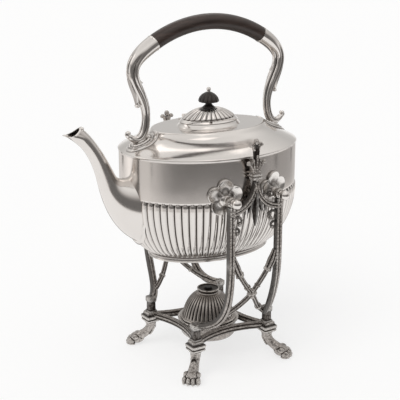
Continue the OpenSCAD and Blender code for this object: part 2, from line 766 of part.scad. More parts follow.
// Crossed bars between the uprights, with a collar on each arm and a knot where they meet
brace_r = 2.5;
brace_top_z = sweep_z + 8;
brace_cross_t = 0.3;
brace_cross = bezier(sweep_path, brace_cross_t) - [bezier(sweep_path, brace_cross_t)[0], 0, 0];
brace_low = bezier(sweep_path, 0.8);
brace_upper = [
    [pin_x - bar_w / 2, frame_mid_y, brace_top_z], [0.72 * pin_x, frame_mid_y, brace_top_z - 18],
    [0.34 * pin_x, brace_cross[1] + 2, brace_cross[2] + 13], brace_cross
];
brace_lower = [
    brace_cross, brace_cross + [-0.3 * pin_x, -2.5, -11],
    brace_low + [0.6 * pin_x - 2 * brace_low[0], 4, 10], brace_low - [2 * brace_low[0], 0, 0]
];

module brace_bar() {
    loft(concat(
        [for (i = [0 : 5]) cross_ring(bezier(brace_upper, i / 5), bezier_slope(brace_upper, i / 5),
            [0, 1, 0], brace_r, brace_r, bar_n)],
        [for (i = [1 : 4]) cross_ring(bezier(brace_lower, i / 4), bezier_slope(brace_lower, i / 4),
            [0, 1, 0], brace_r, brace_r, bar_n)]
    ));
}

module brace_collar(t) {
    collar_h = 4;
    p = bezier(brace_upper, t);
    d = unit(bezier_slope(brace_upper, t));
    loft([for (k = [-0.5, -0.25, 0.25, 0.5])
        cross_ring(p + k * collar_h * d, d, [0, 1, 0], brace_r + (abs(k) < 0.4 ? 1.2 : 0.3),
            brace_r + (abs(k) < 0.4 ? 1.2 : 0.3), bar_n)]);
}

// Faceted bead where the crossed bars meet, with its axis along Y
module brace_knot() {
    knot_r = brace_r + 1.6;
    loft([for (k = [[-1, 0.45], [-0.6, 1], [0.6, 1], [1, 0.45]])
        cross_ring(brace_cross + [0, k[0] * knot_r, 0], [0, 1, 0], [1, 0, 0], k[1] * knot_r, k[1] * knot_r, 12)]);
}

module cross_brace(side) color(old_silver) home() corner(1, side) {
    difference() {
        union() {
            for (e = [-1, 1]) corner(e, 1) {
                brace_bar();
                brace_collar(0.45);
            }
            brace_knot();
        }
        for (e = [-1, 1]) corner(e, 1) {
            upright_bar();
            translate([pin_x - bar_w / 2, frame_y - cut, sweep_z]) cube([bar_w, frame_t + 2 * cut, 30]);
        }
    }
}

// Base: four bowed bars that run into square corner caps
bow_r = (post_half * post_half + base_bow * base_bow) / (2 * base_bow);
bow_turn = asin(post_half / bow_r);

module base_bar() {
    half = base_w / 2;
    groove = 0.8;
    translate([0, -(post_half - base_bow) - bow_r, 0]) rotate([0, 0, 90 - bow_turn])
        rotate_extrude(angle = 2 * bow_turn, $fn = 240) translate([bow_r, 0]) polygon([
            [-half, base_z - base_t], [half, base_z - base_t], [half, base_z - groove], [half - groove, base_z],
            [groove, base_z], [0, base_z - groove], [-groove, base_z], [groove - half, base_z],
            [-half, base_z - groove]
        ]);
}

module base_frame() color(old_silver) home() {
    for (turn = [0 : 90 : 270]) rotate([0, 0, turn]) base_bar();
    for (end = [-1, 1], side = [-1, 1]) corner(end, side) {
        translate([cap_half - cap_w / 2, cap_half - cap_w / 2, cap_z - cap_t + 3]) cube([cap_w, cap_w, cap_t]);
        translate([post_half - block_w / 2, post_half - block_w / 2, cap_z + 1])
            cube([block_w, block_w, block_z - cap_z - 1]);
        translate([cap_half, cap_half, leg_z]) cylinder(r = leg_top_r + 0.8, h = 3, $fn = 48);
    }
}

// Feet. Each leg drops from its corner cap and sweeps out along the diagonal to a paw.
leg_z = cap_z - cap_t + 1;
leg_top_r = 6.2;
leg_from = cap_half;
leg_to = post_half + paw_out;
leg_run = sqrt(2) * (leg_to - leg_from);
leg_path = [[0, leg_z], [-1, leg_z - 9], [0.35 * leg_run, paw_h - 1], [0.75 * leg_run, 0.62 * paw_h]];

module foot(end, side) color(old_silver) home() corner(end, side) {
    toe_r = 0.27 * paw_w + 1.4;
    translate([leg_from, leg_from, 0]) rotate([0, 0, 45]) {
        loft([for (t = steps(6)) let (p = bezier(leg_path, t), d = bezier_slope(leg_path, t))
            cross_ring([p[0], 0, p[1]], [t == 0 ? 0 : d[0], 0, d[1]], [0, 1, 0],
                leg_top_r - 1.4 * t, leg_top_r + 1.2 * t, 12)]);
        intersection() {
            hull() {
                translate([0.7 * leg_run, 0, 0.52 * paw_h]) sphere(r = 0.48 * paw_h, $fn = 16);
                for (k = [-1.5 : 1 : 1.5])
                    translate([leg_run + 4 - 1.1 * k * k, k * (paw_w - toe_r) / 1.5, toe_r - 0.6])
                        sphere(r = toe_r, $fn = 16);
                for (k = [-1, 1])
                    translate([leg_run - 1, k * (paw_w - toe_r) * 0.8, 0.62 * paw_h]) sphere(r = toe_r, $fn = 16);
            }
            translate([-leg_run, -2 * paw_w, 0]) cube([4 * leg_run + 20, 4 * paw_w, leg_z]);
        }
    }
}

// Dish that carries the burner. Its flange lies on the middle of the base bars.
dish_floor_z = base_z - dish_deep;
flange_r = post_half - base_bow;
module burner_dish() color(old_silver) home() {
    rotate_extrude($fn = turn_n) polygon([
        [0, dish_floor_z - wall], [dish_r - 4, dish_floor_z - wall], [dish_r, dish_floor_z + 2.5],
        [dish_r, base_z], [flange_r, base_z], [flange_r, base_z + 1], [flange_r - 1, base_z + wall],
        [dish_r - wall, base_z + wall], [dish_r - wall, dish_floor_z + 3], [dish_r - 4.6, dish_floor_z],
        [0, dish_floor_z]
    ]);
}

// Burner. Bell shaped reservoir with a collar and a flared mouth, and a wick holder that hangs in the mouth.
bowl_z = dish_floor_z + 0.2;
bell_z = bowl_z + bell_h;
bell_curve = [[bowl_r - 0.5, 0.38 * bell_h], [bowl_r - 1, 0.7 * bell_h], [0.66 * bowl_r, 0.96 * bell_h],
    [collar_r, bell_h]];

function bowl_points(thin) = concat(
    [[bowl_r - 4 - thin, thin], [bowl_r - 1 - thin, 2.2 + 0.4 * thin], [bowl_r - thin, 0.2 * bell_h]],
    [for (t = steps(8)) bezier(bell_curve, t) - thin * [1 - 0.8 * t, 0.9 * t]]
);

module burner_bowl() color(old_silver) home() {
    outer = bowl_points(0);
    inner = bowl_points(wall);
    translate([0, 0, bowl_z]) rotate_extrude($fn = turn_n) polygon(concat(
        [[0, 0]], outer, [[collar_r - wall, bell_h], [collar_r - wall, bell_h - wall]],
        [for (i = [len(inner) - 2 : -1 : 0]) inner[i]], [[0, wall]]
    ));
}

module burner_collar() color(old_silver) home() {
    bore_r = collar_r - wall;
    translate([0, 0, bell_z]) rotate_extrude($fn = turn_n) polygon([
        [bore_r, 0], [collar_r + 1.6, 0], [collar_r + 1.6, 1.6], [collar_r, 2.2], [collar_r, 0.36 * mouth_h],
        [collar_r + 1.2, 0.42 * mouth_h], [collar_r + 1.2, 0.5 * mouth_h], [collar_r, 0.56 * mouth_h],
        [collar_r, 0.68 * mouth_h], [mouth_r, 0.8 * mouth_h],
        [mouth_r, mouth_h], [mouth_r - 1, mouth_h], [mouth_r - 1, 0.84 * mouth_h], [bore_r, 0.84 * mouth_h]
    ]);
}

holder_z = bell_z + 0.84 * mouth_h + 0.1;
module wick_holder() color(old_silver) home() {
    drop = 22;
    tube_r = wick_r + 0.9;
    difference() {
        union() {
            translate([0, 0, holder_z - drop]) cylinder(r = tube_r, h = drop + 1.6, $fn = 48);
            translate([0, 0, holder_z]) cylinder(r = mouth_r - 1.3, h = 0.9, $fn = 48);
        }
        translate([0, 0, holder_z - drop - 1]) cylinder(r = wick_r + run_clear, h = drop + 5, $fn = 48);
    }
}

module wick() color(cotton) home() {
    translate([0, 0, bowl_z + wall + 4]) cylinder(r = wick_r, h = holder_z + 3 - bowl_z - wall - 4, $fn = 48);
}

base_frame();
burner_dish();
foot(-1, -1);  // foot_near_front
foot(1, -1);  // foot_near_rear
foot(-1, 1);  // foot_far_front
foot(1, 1);  // foot_far_rear
upright(-1, -1);  // upright_near_front
upright(1, -1);  // upright_near_rear
upright(-1, 1);  // upright_far_front
upright(1, 1);  // upright_far_rear
side_frame(-1);  // side_frame_near
side_frame(1);  // side_frame_far
cross_brace(-1);  // cross_brace_near
cross_brace(1);  // cross_brace_far
kettle_drum();
kettle_base();
kettle_shoulder();
filler_bezel();
spout();
spout_strainer();
lug(-1, -1);  // lug_near_front
lug(1, -1);  // lug_near_rear
lug(-1, 1);  // lug_far_front
lug(1, 1);  // lug_far_rear
handle_arm(-1);  // handle_arm_front
handle_arm(1);  // handle_arm_rear
handle_plate(-1);  // handle_plate_front
handle_plate(1);  // handle_plate_rear
handle_grip();
grip_rivets();
hinge_leaf();
hinge_pin();
lid_dome();
lid_rim();
lid_knuckle();
finial_cap();
finial_screw();
finial_nut();
pivot_pin(-1, -1);  // pin_near_front
pivot_pin(1, -1);  // pin_near_rear
pivot_pin(-1, 1);  // pin_far_front
pivot_pin(1, 1);  // pin_far_rear
burner_bowl();
burner_collar();
wick_holder();
wick();
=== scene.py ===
import math

import bmesh
import bpy
import numpy as np
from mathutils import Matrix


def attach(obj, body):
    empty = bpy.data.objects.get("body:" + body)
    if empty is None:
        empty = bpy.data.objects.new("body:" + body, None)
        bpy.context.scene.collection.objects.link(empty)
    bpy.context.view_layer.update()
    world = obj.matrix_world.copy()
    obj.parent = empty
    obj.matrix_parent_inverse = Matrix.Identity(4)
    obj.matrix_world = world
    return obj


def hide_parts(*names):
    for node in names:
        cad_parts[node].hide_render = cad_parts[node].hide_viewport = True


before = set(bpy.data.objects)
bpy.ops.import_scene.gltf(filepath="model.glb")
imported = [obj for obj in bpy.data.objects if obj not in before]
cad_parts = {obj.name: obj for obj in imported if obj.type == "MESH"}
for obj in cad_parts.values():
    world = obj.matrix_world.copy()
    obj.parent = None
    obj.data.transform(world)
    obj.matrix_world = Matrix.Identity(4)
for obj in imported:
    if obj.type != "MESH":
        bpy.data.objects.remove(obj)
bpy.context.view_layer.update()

# Sizes in millimetres about the middle of the kettle. HOME_X moves them into the part's frame.
HOME_X = 33.75
DRUM_A, DRUM_B, RIM_LIP, WALL = 101.0, 78.5, 1.0, 1.3
WALL_Z, REED_TOP, RIM_Z = 130.0, 195.5, 240.0
FILLER_A, FILLER_B = 29.0, 19.0
TOP_Z, SEAT_Z, DOME_Z, LID_TOP_Z = 260.0, 264.3, 267.0, 277.5
PIVOT_Z, PIN_X, BORE_R = 199.5, 29.5, 2.35
FRAME_Y, FRAME_T = 82.0, 6.5
FRAME_MID = FRAME_Y + FRAME_T / 2
ARC_Z, SWEEP_Z = 217.0, 132.0
CORNER, POST, BAR_Z = 47.0, 46.5, 36.5
CORNERS = {"near_front": (-1, -1), "near_rear": (1, -1), "far_front": (-1, 1), "far_rear": (1, 1)}


# Curves and outlines

def bezier(points, t):
    p = np.asarray(points, float)
    t = np.asarray(t, float)[..., None]
    return (1 - t)**3 * p[0] + 3 * t * (1 - t)**2 * p[1] + 3 * t * t * (1 - t) * p[2] + t**3 * p[3]


def curve(points, per=8):
    """A smooth path through the points."""
    p = np.asarray(points, float)
    ends = np.vstack([2 * p[0] - p[1], p, 2 * p[-1] - p[-2]])
    t = (np.arange(per) / per)[:, None]
    out = []
    for k in range(len(p) - 1):
        a, b, c, d = ends[k:k + 4]
        out.append(0.5 * (2 * b + (c - a) * t + (2 * a - 5 * b + 4 * c - d) * t**2
                          + (3 * b - a - 3 * c + d) * t**3))
    return np.vstack(out + [p[-1:]])


def unit(v):
    v = np.asarray(v, float)
    return v / np.maximum(np.linalg.norm(v, axis=-1, keepdims=True), 1e-12)


def smooth_step(x):
    x = np.clip(x, 0, 1)
    return x * x * (3 - 2 * x)


def arc_angles(a, b, count):
    """Angles that divide an oval into equal lengths."""
    t = np.linspace(0, 2 * math.pi, 8001)
    speed = np.hypot(a * np.sin(t), b * np.cos(t))
    length = np.concatenate([[0], np.cumsum((speed[1:] + speed[:-1]) / 2 * np.diff(t))])
    return np.interp(np.linspace(0, length[-1], count, endpoint=False), length, t)


def full_turn(n):
    """Angles in even steps round a circle."""
    return 2 * math.pi * np.arange(n) / n


def circle_outline(n):
    a = full_turn(n)
    return np.stack([np.cos(a), np.sin(a)], 1)


def ribbed_outline(ribs, depth, n):
    """A round outline cut by grooves."""
    a = full_turn(n)
    r = 1 - depth * (1 - np.abs(np.sin(ribs * a / 2)))
    return np.stack([r * np.cos(a), r * np.sin(a)], 1)


def round_top(*parts):
    """Height of a half round, at distances from its middle that run from -1 to 1."""
    return np.sqrt(np.clip(1 - sum(p * p for p in parts), 0, 1))


def over_flutes(count, per):
    """Distance from the middle of its flute, for each point round a fluted form."""
    return (np.arange(count * per) % per) / per * 2 - 1


def over_ribs(ribs, steps):
    """Places across a bar, and the height of its half round ribs there."""
    w = np.linspace(-1, 1, ribs * steps + 1)
    local = ((w + 1) / 2 * ribs) % 1 * 2 - 1
    local[-1] = 1
    return w, round_top(local)


def reeded_outline():
    """A flat bar with two half round ribs on both broad faces."""
    w, ridge = over_ribs(2, 7)
    low = 0.66
    h = low + (1 - low) * ridge
    return np.vstack([np.stack([w, h], 1), np.stack([w[::-1], -h[::-1]], 1)])


def reed_grooves():
    """Tarnish and painted shade for the grooves of a reeded outline."""
    face = 0.9 * (1 - over_ribs(2, 7)[1])**1.2
    return np.concatenate([face, face])


def chamfered(cut):
    """A square with cut corners."""
    corner = np.array([(1, cut), (cut, 1)])
    return np.vstack([corner, corner[::-1] * (-1, 1), -corner, corner[::-1] * (1, -1)])


def rib_grooves(ribs, n):
    """Tarnish and painted shade for the grooves of a ribbed outline."""
    return 0.8 * (1 - np.abs(np.sin(ribs * full_turn(n) / 2)))**1.5


# Points and faces of one piece, with a value of tarnish and painted shade for each point

class Shape:
    def __init__(self):
        self.points, self.faces, self.dark, self.count = [], [], [], 0

    def add(self, points, dark=0.0):
        points = np.asarray(points, float).reshape(-1, 3)
        ids = np.arange(self.count, self.count + len(points))
        self.points.append(points)
        self.dark.append(np.array(np.broadcast_to(np.asarray(dark, float).ravel(), len(points))))
        self.count += len(points)
        return ids

    def skin(self, rings, dark=0.0, loop=False, caps=True):
        """Joins rings of points with faces. A loop runs on from the last ring to the first."""
        rings = np.asarray(rings, float)
        m, n = rings.shape[:2]
        ids = self.add(rings, np.broadcast_to(np.asarray(dark, float), (m, n))).reshape(m, n)
        rows = np.vstack([ids, ids[:1]]) if loop else ids
        rows = np.hstack([rows, rows[:, :1]])
        quads = np.stack([rows[:-1, :-1], rows[:-1, 1:], rows[1:, 1:], rows[1:, :-1]], -1)
        self.faces += quads.reshape(-1, 4).tolist()
        if caps and not loop:
            self.faces += [ids[0][::-1].tolist(), ids[-1].tolist()]
        return self

    def join(self, other, change=lambda p: p):
        ids = self.add(change(np.vstack(other.points)), np.concatenate(other.dark))
        self.faces += [[int(ids[i]) for i in f] for f in other.faces]
        return self

    def turned(self, end, side):
        """The same shape at the corner that end and side name."""
        return Shape().join(self, lambda p: p * (end, side, 1))


def two(size, k):
    """Size across and up for each of k rings, from one number, a pair or a list."""
    size = np.asarray(size, float)
    if size.ndim == 1 and len(size) == k:
        size = np.stack([size, size], 1)
    return np.broadcast_to(size, (k, 2))


def sweep(path, size, outline, side=(0, 1, 0)):
    """Rings of an outline carried along a path. The outline's first axis lies along side."""
    path = np.asarray(path, float)
    k = len(path)
    heading = unit(np.gradient(path, axis=0))
    side = np.broadcast_to(np.asarray(side, float), (k, 3))
    s = unit(side - (side * heading).sum(1, keepdims=True) * heading)
    u = np.cross(s, heading)
    size = two(size, k)
    outline = np.broadcast_to(outline, (k,) + np.asarray(outline).shape[-2:])
    return (path[:, None] + outline[..., 0:1] * size[:, None, 0:1] * s[:, None]
            + outline[..., 1:2] * size[:, None, 1:2] * u[:, None])


def flat_path(xz, y=0.0):
    xz = np.asarray(xz, float)
    return np.stack([xz[:, 0], np.full(len(xz), y), xz[:, 1]], 1)


def flat_curve(points, y=0.0, per=6, flip=1):
    """A smooth path through points in X and Z. A flip of -1 puts it on the other side."""
    return flat_path(curve(points, per) * (flip, 1), y)


def turned_rings(outline, n=64, wave=0.0):
    """Rings of a turned form. The outline holds radius and height."""
    outline = np.asarray(outline, float)
    a = full_turn(n)
    r = outline[:, :1] + np.zeros(n) + wave
    return np.stack([r * np.cos(a), r * np.sin(a), outline[:, 1:2] + 0 * r], -1)


def aim(points, origin, axis):
    """Points drawn about Z are moved to an origin and turned to an axis."""
    z = unit(axis)
    x = unit(np.cross((0, 0, 1) if abs(z[2]) < 0.9 else (0, 1, 0), z))
    return np.asarray(origin, float) + points @ np.stack([x, np.cross(z, x), z])


def ball(shape, centre, radius, dark=0.0):
    t = np.linspace(0.02, math.pi - 0.02, 9)
    rings = turned_rings(np.stack([np.sin(t), -np.cos(t)], 1), 16)
    shape.skin(np.asarray(centre, float) + rings * np.asarray(radius, float), dark)


def oval_rings(levels, angles):
    """Level oval rings, from rows of half length, half width and height."""
    levels = np.asarray(levels, float)
    return np.stack([levels[:, :1] * np.cos(angles), levels[:, 1:2] * np.sin(angles),
                     levels[:, 2:] + 0 * angles], -1)


def drum_levels(points):
    """Rows for oval_rings, from distances in from the drum's widest line and heights."""
    p = np.asarray(points, float)
    return np.stack([DRUM_A - p[:, 0], DRUM_B - p[:, 0], p[:, 1]], 1)


def leaf(shape, path, width, thick, side=(0, 1, 0), lobes=0, dark=0.0, blunt=0.7):
    """A pointed leaf along a path, with a middle vein and wavy edges."""
    k = len(path)
    t = np.linspace(0.02, 0.98, k)
    body = np.sin(math.pi * t**0.75)**blunt
    wave = 1 - 0.22 * np.abs(np.sin(lobes * math.pi * t)) if lobes else 1
    w = np.linspace(-1, 1, 13)
    top = 1 - 0.5 * w * w - 0.5 * np.exp(-(w / 0.14)**2)
    outline = np.vstack([np.stack([w, top], 1), np.stack([w[::-1] * 0.9, np.full(13, -0.5)], 1)])
    size = np.stack([width * body * wave, thick * (0.35 + 0.65 * body)], 1)
    # Tarnish and painted shade along the middle vein, and painted shade on the underside
    vein_and_underside_shade = np.concatenate([0.7 * np.exp(-(w / 0.16)**2), np.full(13, 0.4)])
    shape.skin(sweep(path, size, outline, side), np.clip(dark + vein_and_underside_shade, 0, 1))


def rod(shape, path, thick, outline=None, side=(0, 1, 0)):
    """A rod along a path, from one thickness to another."""
    outline = circle_outline(12) if outline is None else outline
    shape.skin(sweep(path, np.linspace(*thick, len(path)), outline, side))


def scroll(shape, centre, r0, r1, a0, a1, y, thick, bead, dark):
    """A flat spiral bar in X and Z that ends in a bead."""
    t = np.linspace(0, 1, 26)
    a = np.radians(a0 + (a1 - a0) * t)
    r = r0 * (r1 / r0)**t
    path = flat_path(np.stack([centre[0] + r * np.cos(a), centre[1] + r * np.sin(a)], 1), y)
    shape.skin(sweep(path, thick * (1 - 0.35 * t), ribbed_outline(4, 0.12, 12)), dark)
    ball(shape, path[-1], bead, dark * 0.3)


# Meshes

def add_tarnish_and_shade(mesh, painted, gain=1.0):
    """Stores how hollow the surface is at each point, so that recesses can be darker: tarnish, with painted
    shade that stands in for occlusion.
    """
    n = len(mesh.vertices)
    at, up = np.empty(n * 3), np.empty(n * 3)
    mesh.vertices.foreach_get("co", at)
    mesh.vertex_normals.foreach_get("vector", up)
    at, up = at.reshape(-1, 3), up.reshape(-1, 3)
    ends = np.empty(len(mesh.edges) * 2, int)
    mesh.edges.foreach_get("vertices", ends)
    a, b = ends.reshape(-1, 2).T
    span = at[b] - at[a]
    length = np.maximum(np.linalg.norm(span, axis=1), 1e-7)
    count = np.maximum(np.bincount(np.concatenate([a, b]), minlength=n), 1)
    lean_a, lean_b = ((span * up[k]).sum(1) / length for k in (a, b))
    hollow = (np.bincount(a, lean_a, n) - np.bincount(b, lean_b, n)) / count
    for _ in range(2):
        near = np.bincount(a, hollow[b], n) + np.bincount(b, hollow[a], n)
        hollow = (hollow + near / count) / 2
    hollow = hollow * gain
    dark = np.clip(painted + np.clip(hollow - 0.03, 0, 1) * 3.2, 0, 1)
    edge = np.clip(-hollow - 0.08, 0, 1) * 2.5
    for name, values in (("dark", dark), ("edge", np.clip(edge, 0, 1))):
        mesh.attributes.new(name, "FLOAT", "POINT").data.foreach_set("value", values.astype(np.float32))


def to_mesh(name, shape):
    mesh = bpy.data.meshes.new(name)
    points = (np.vstack(shape.points) + (HOME_X, 0, 0)) * 0.001
    mesh.from_pydata(points.tolist(), [], shape.faces)
    form = bmesh.new()
    form.from_mesh(mesh)
    bmesh.ops.recalc_face_normals(form, faces=form.faces)
    form.to_mesh(mesh)
    form.free()
    return mesh


def evaluated(obj):
    """The mesh with the object's modifiers applied, and the object taken away."""
    bpy.context.view_layer.update()
    mesh = bpy.data.meshes.new_from_object(obj.evaluated_get(bpy.context.evaluated_depsgraph_get()))
    bpy.data.objects.remove(obj)
    return mesh


def in_scene(name, data):
    """A new object with this data, linked into the scene."""
    obj = bpy.data.objects.new(name, data)
    bpy.context.collection.objects.link(obj)
    return obj


def fused(mesh, cell, rounds=4):
    """Joins overlapping closed shells into one even skin."""
    obj = in_scene(mesh.name, mesh)
    change = obj.modifiers.new("skin", "REMESH")
    change.mode, change.voxel_size = "VOXEL", cell * 0.001
    soften = obj.modifiers.new("soften", "SMOOTH")
    soften.factor, soften.iterations = 0.5, rounds
    return evaluated(obj)


def cut_by(mesh, tool):
    obj, knife = in_scene(mesh.name, mesh), in_scene("knife", tool)
    change = obj.modifiers.new("cut", "BOOLEAN")
    change.operation, change.solver, change.object = "DIFFERENCE", "EXACT", knife
    out = evaluated(obj)
    bpy.data.objects.remove(knife)
    return out


def piece(name, shape, body, nodes, material, cell=0.0, knife=None, angle=38, rounds=4):
    """Makes one named piece. It rides on a body and shows in place of the CAD nodes named."""
    painted = np.concatenate(shape.dark)
    mesh = to_mesh(name, shape)
    if cell:
        mesh = fused(mesh, cell, rounds)
        painted = 0.0
    if knife is not None:
        mesh = cut_by(mesh, to_mesh("knife", knife))
        painted = 0.0
    mesh.name = name
    mesh.shade_smooth()
    mesh.set_sharp_from_angle(angle=math.radians(angle))
    # Fused pieces have fine meshes, so their hollowness is scaled up for the same tarnish and painted shade
    add_tarnish_and_shade(mesh, painted, 3.5 if cell else 1.0)
    mesh.materials.clear()
    mesh.materials.append(material)
    obj, slot = in_scene(name, mesh), SLOTS[material.name]
    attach(obj, body)
    if nodes:
        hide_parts(*nodes)


# Materials

class Tree:
    """A node tree, with nodes made and linked by name."""

    def __init__(self, tree):
        self.tree = tree

    def new(self, kind, **inputs):
        made = self.tree.nodes.new("ShaderNode" + kind)
        for key, value in inputs.items():
            self.give(made.inputs[key.replace("_", " ")], value)
        return made

    def give(self, socket, value):
        if isinstance(value, bpy.types.NodeSocket):
            self.tree.links.new(value, socket)
        else:
            socket.default_value = value

    def math(self, kind, a, b=0.0, c=0.0):
        made = self.tree.nodes.new("ShaderNodeMath")
        made.operation = kind
        for socket, value in zip(made.inputs, (a, b, c)):
            self.give(socket, value)
        return made.outputs[0]


class Nodes(Tree):
    """A material's nodes."""

    def __init__(self, name):
        self.material = bpy.data.materials.new(name)
        self.material.use_nodes = True
        super().__init__(self.material.node_tree)
        self.shader = self.tree.nodes["Principled BSDF"]
        self.place = self.tree.nodes.new("ShaderNodeTexCoord").outputs["Object"]

    def show(self, shader):
        """The shader that the material's output takes."""
        self.give(self.tree.nodes["Material Output"].inputs[0], shader)

    def noise(self, scale, detail=3.0, stretch=None, rough=0.5):
        place = self.place
        if stretch:
            place = self.new("Mapping", Vector=place, Scale=stretch).outputs[0]
        made = self.new("TexNoise", Vector=place, Scale=scale, Detail=detail, Roughness=rough)
        return made.outputs["Fac"]

    def range(self, value, low, high):
        """How far a value is from low to high, as 0 to 1."""
        return self.new("MapRange", Value=value, From_Min=low, From_Max=high).outputs[0]

    def blend(self, fac, a, b):
        made = self.tree.nodes.new("ShaderNodeMix")
        made.data_type = "RGBA"
        self.give(made.inputs[0], fac)
        for socket, colour in ((made.inputs[6], a), (made.inputs[7], b)):
            self.give(socket, (*colour, 1) if isinstance(colour, tuple) else colour)
        return made.outputs[2]

    def value(self, name):
        made = self.tree.nodes.new("ShaderNodeAttribute")
        made.attribute_name = name
        return made.outputs["Fac"]

    def bump(self, *layers):
        """Layers of height, strength and depth in millimetres, one over the other."""
        normal = None
        for height, strength, depth in layers:
            made = self.new("Bump", Height=height, Strength=strength, Distance=depth * 0.001)
            if normal:
                self.give(made.inputs["Normal"], normal)
            normal = made.outputs[0]
        self.give(self.shader.inputs["Normal"], normal)


def silver(name, bright, film, tarnish_and_shade, rough, hollow=1.0, haze=0.12, dents=0.3, worn=(0.90, 0.88, 0.85),
           pitted=0.0):
    """Silver with a cloudy film, recesses darkened by tarnish and painted shade, worn edges, fine scratches
    and pits.
    """
    m = Nodes(name)
    shader = m.shader.inputs
    shader["Metallic"].default_value = 1.0
    cloud = m.range(m.noise(14, 4), 0.42, 0.72)
    spots = m.range(m.noise(150, 5, rough=0.65), 0.56, 0.78)
    dark, edge = m.value("dark"), m.value("edge")
    base = m.blend(m.math("MULTIPLY_ADD", cloud, haze, haze * 0.5), bright, film)
    base = m.blend(m.math("MULTIPLY", spots, haze * 1.2), base, film)
    # Recesses are blended to the dark colour: tarnish, with painted shade in the hollows
    recess = m.math("MULTIPLY", dark, hollow)
    recess = m.math("MULTIPLY", m.math("MULTIPLY_ADD", spots, 0.5, 1.0), recess)
    if pitted:
        pits = m.range(m.noise(420, 2), 0.40, 0.62)
        recess = m.math("MULTIPLY_ADD", m.math("SUBTRACT", 1.0, pits), pitted, recess)
    recess = m.math("MINIMUM", recess, 0.94)
    base = m.blend(recess, base, tarnish_and_shade)
    m.give(shader["Base Color"], m.blend(m.math("MULTIPLY", edge, 0.6), base, worn))
    scratch_x = m.noise(240, 2, (1, 22, 9))
    scratch_z = m.noise(260, 2, (14, 3, 1))
    wear = m.math("ADD", m.math("MULTIPLY", scratch_x, 0.07), m.math("MULTIPLY", cloud, 0.05))
    wear = m.math("ADD", wear, m.math("MULTIPLY", recess, 0.22))
    m.give(shader["Roughness"], m.math("ADD", wear, rough - 0.05))
    layers = [(m.noise(20, 2), dents, 0.5), (scratch_x, 0.05, 0.05), (scratch_z, 0.05, 0.05),
              (m.noise(700, 3), 0.04, 0.08)]
    if pitted:
        layers.append((pits, 0.7, 0.5))
    m.bump(*layers)
    return m.material


def wood(name, dark, light, rough):
    """Dark close grained wood, rubbed lighter in patches."""
    m = Nodes(name)
    shader = m.shader.inputs
    grain = m.noise(170, 5, (0.12, 1.6, 1.6), 0.6)
    pores = m.range(m.noise(900, 3, (0.1, 1, 1)), 0.5, 0.7)
    worn = m.range(m.noise(18, 3), 0.4, 0.7)
    base = m.blend(m.range(grain, 0.35, 0.68), dark, light)
    base = m.blend(m.math("MULTIPLY", pores, 0.5), base, tuple(c * 0.45 for c in dark))
    m.give(shader["Base Color"], m.blend(m.math("MULTIPLY", worn, 0.3), base, light))
    m.give(shader["Roughness"], m.math("MULTIPLY_ADD", grain, 0.18, rough))
    m.bump((grain, 0.12, 0.15), (pores, 0.15, 0.08))
    return m.material


WICK_CHAR = 0.070


def cotton_yarn(name):
    """Twisted cotton, charred where it burns."""
    m = Nodes(name)
    shader = m.shader.inputs
    ply = m.new("TexWave", Vector=m.place, Scale=260.0, Distortion=1.5, Detail=2.0).outputs["Fac"]
    fuzz = m.noise(1500, 4)
    base = m.blend(ply, (0.46, 0.41, 0.31), (0.72, 0.67, 0.55))
    base = m.blend(m.math("MULTIPLY", fuzz, 0.3), base, (0.30, 0.25, 0.18))
    height = m.new("SeparateXYZ", Vector=m.place).outputs["Z"]
    char = m.range(m.math("MULTIPLY_ADD", fuzz, 0.002, height), WICK_CHAR - 0.004, WICK_CHAR)
    m.give(shader["Base Color"], m.blend(char, base, (0.012, 0.010, 0.009)))
    shader["Roughness"].default_value = 0.92
    shader["Sheen Weight"].default_value = 0.25
    m.bump((ply, 0.5, 0.35), (fuzz, 0.3, 0.1))
    return m.material


# The hollow setting scales how dark the recesses get: tarnish with painted shade
POLISHED = silver("kettle silver", (0.80, 0.765, 0.735), (0.60, 0.545, 0.50), (0.050, 0.036, 0.028), 0.14,
                  hollow=1.2)
SATIN = silver("satin silver", (0.86, 0.83, 0.80), (0.66, 0.61, 0.57), (0.050, 0.036, 0.028), 0.23,
               hollow=1.3)
CAST = silver("stand silver", (0.66, 0.62, 0.585), (0.26, 0.222, 0.194), (0.018, 0.012, 0.009), 0.17,
              hollow=2.0, haze=0.45, dents=0.8, pitted=0.30)
# Paw silver is a brighter copy of the stand silver, lightened to stand in for the highlights on the legs,
# with deeper tarnish and painted shade in its hollows
PAW = silver("paw silver", (0.72, 0.68, 0.645), (0.28, 0.24, 0.21), (0.018, 0.012, 0.009), 0.17,
             hollow=2.4, haze=0.4, dents=0.4, pitted=0.40)
WORN = silver("burner silver", (0.58, 0.54, 0.505), (0.20, 0.172, 0.150), (0.018, 0.014, 0.012), 0.22,
              hollow=1.9, haze=0.5, dents=0.4, worn=(0.68, 0.65, 0.62))
# Near black silver for the wick holder inside the burner's mouth
NEAR_BLACK_SILVER = silver("near black silver", (0.06, 0.052, 0.046), (0.03, 0.026, 0.023), (0.008, 0.006, 0.005), 0.45,
              worn=(0.16, 0.14, 0.12))
GRIP_WOOD = wood("grip wood", (0.027, 0.016, 0.012), (0.062, 0.039, 0.031), 0.25)
FINIAL_WOOD = wood("finial wood", (0.016, 0.012, 0.010), (0.045, 0.035, 0.030), 0.24)
COTTON = cotton_yarn("cotton yarn")
SLOTS = {"kettle silver": "kettle_silver", "satin silver": "kettle_silver", "stand silver": "stand_silver",
         "paw silver": "stand_silver", "burner silver": "stand_silver", "grip wood": "dark_wood",
         "finial wood": "dark_wood"}


# The kettle

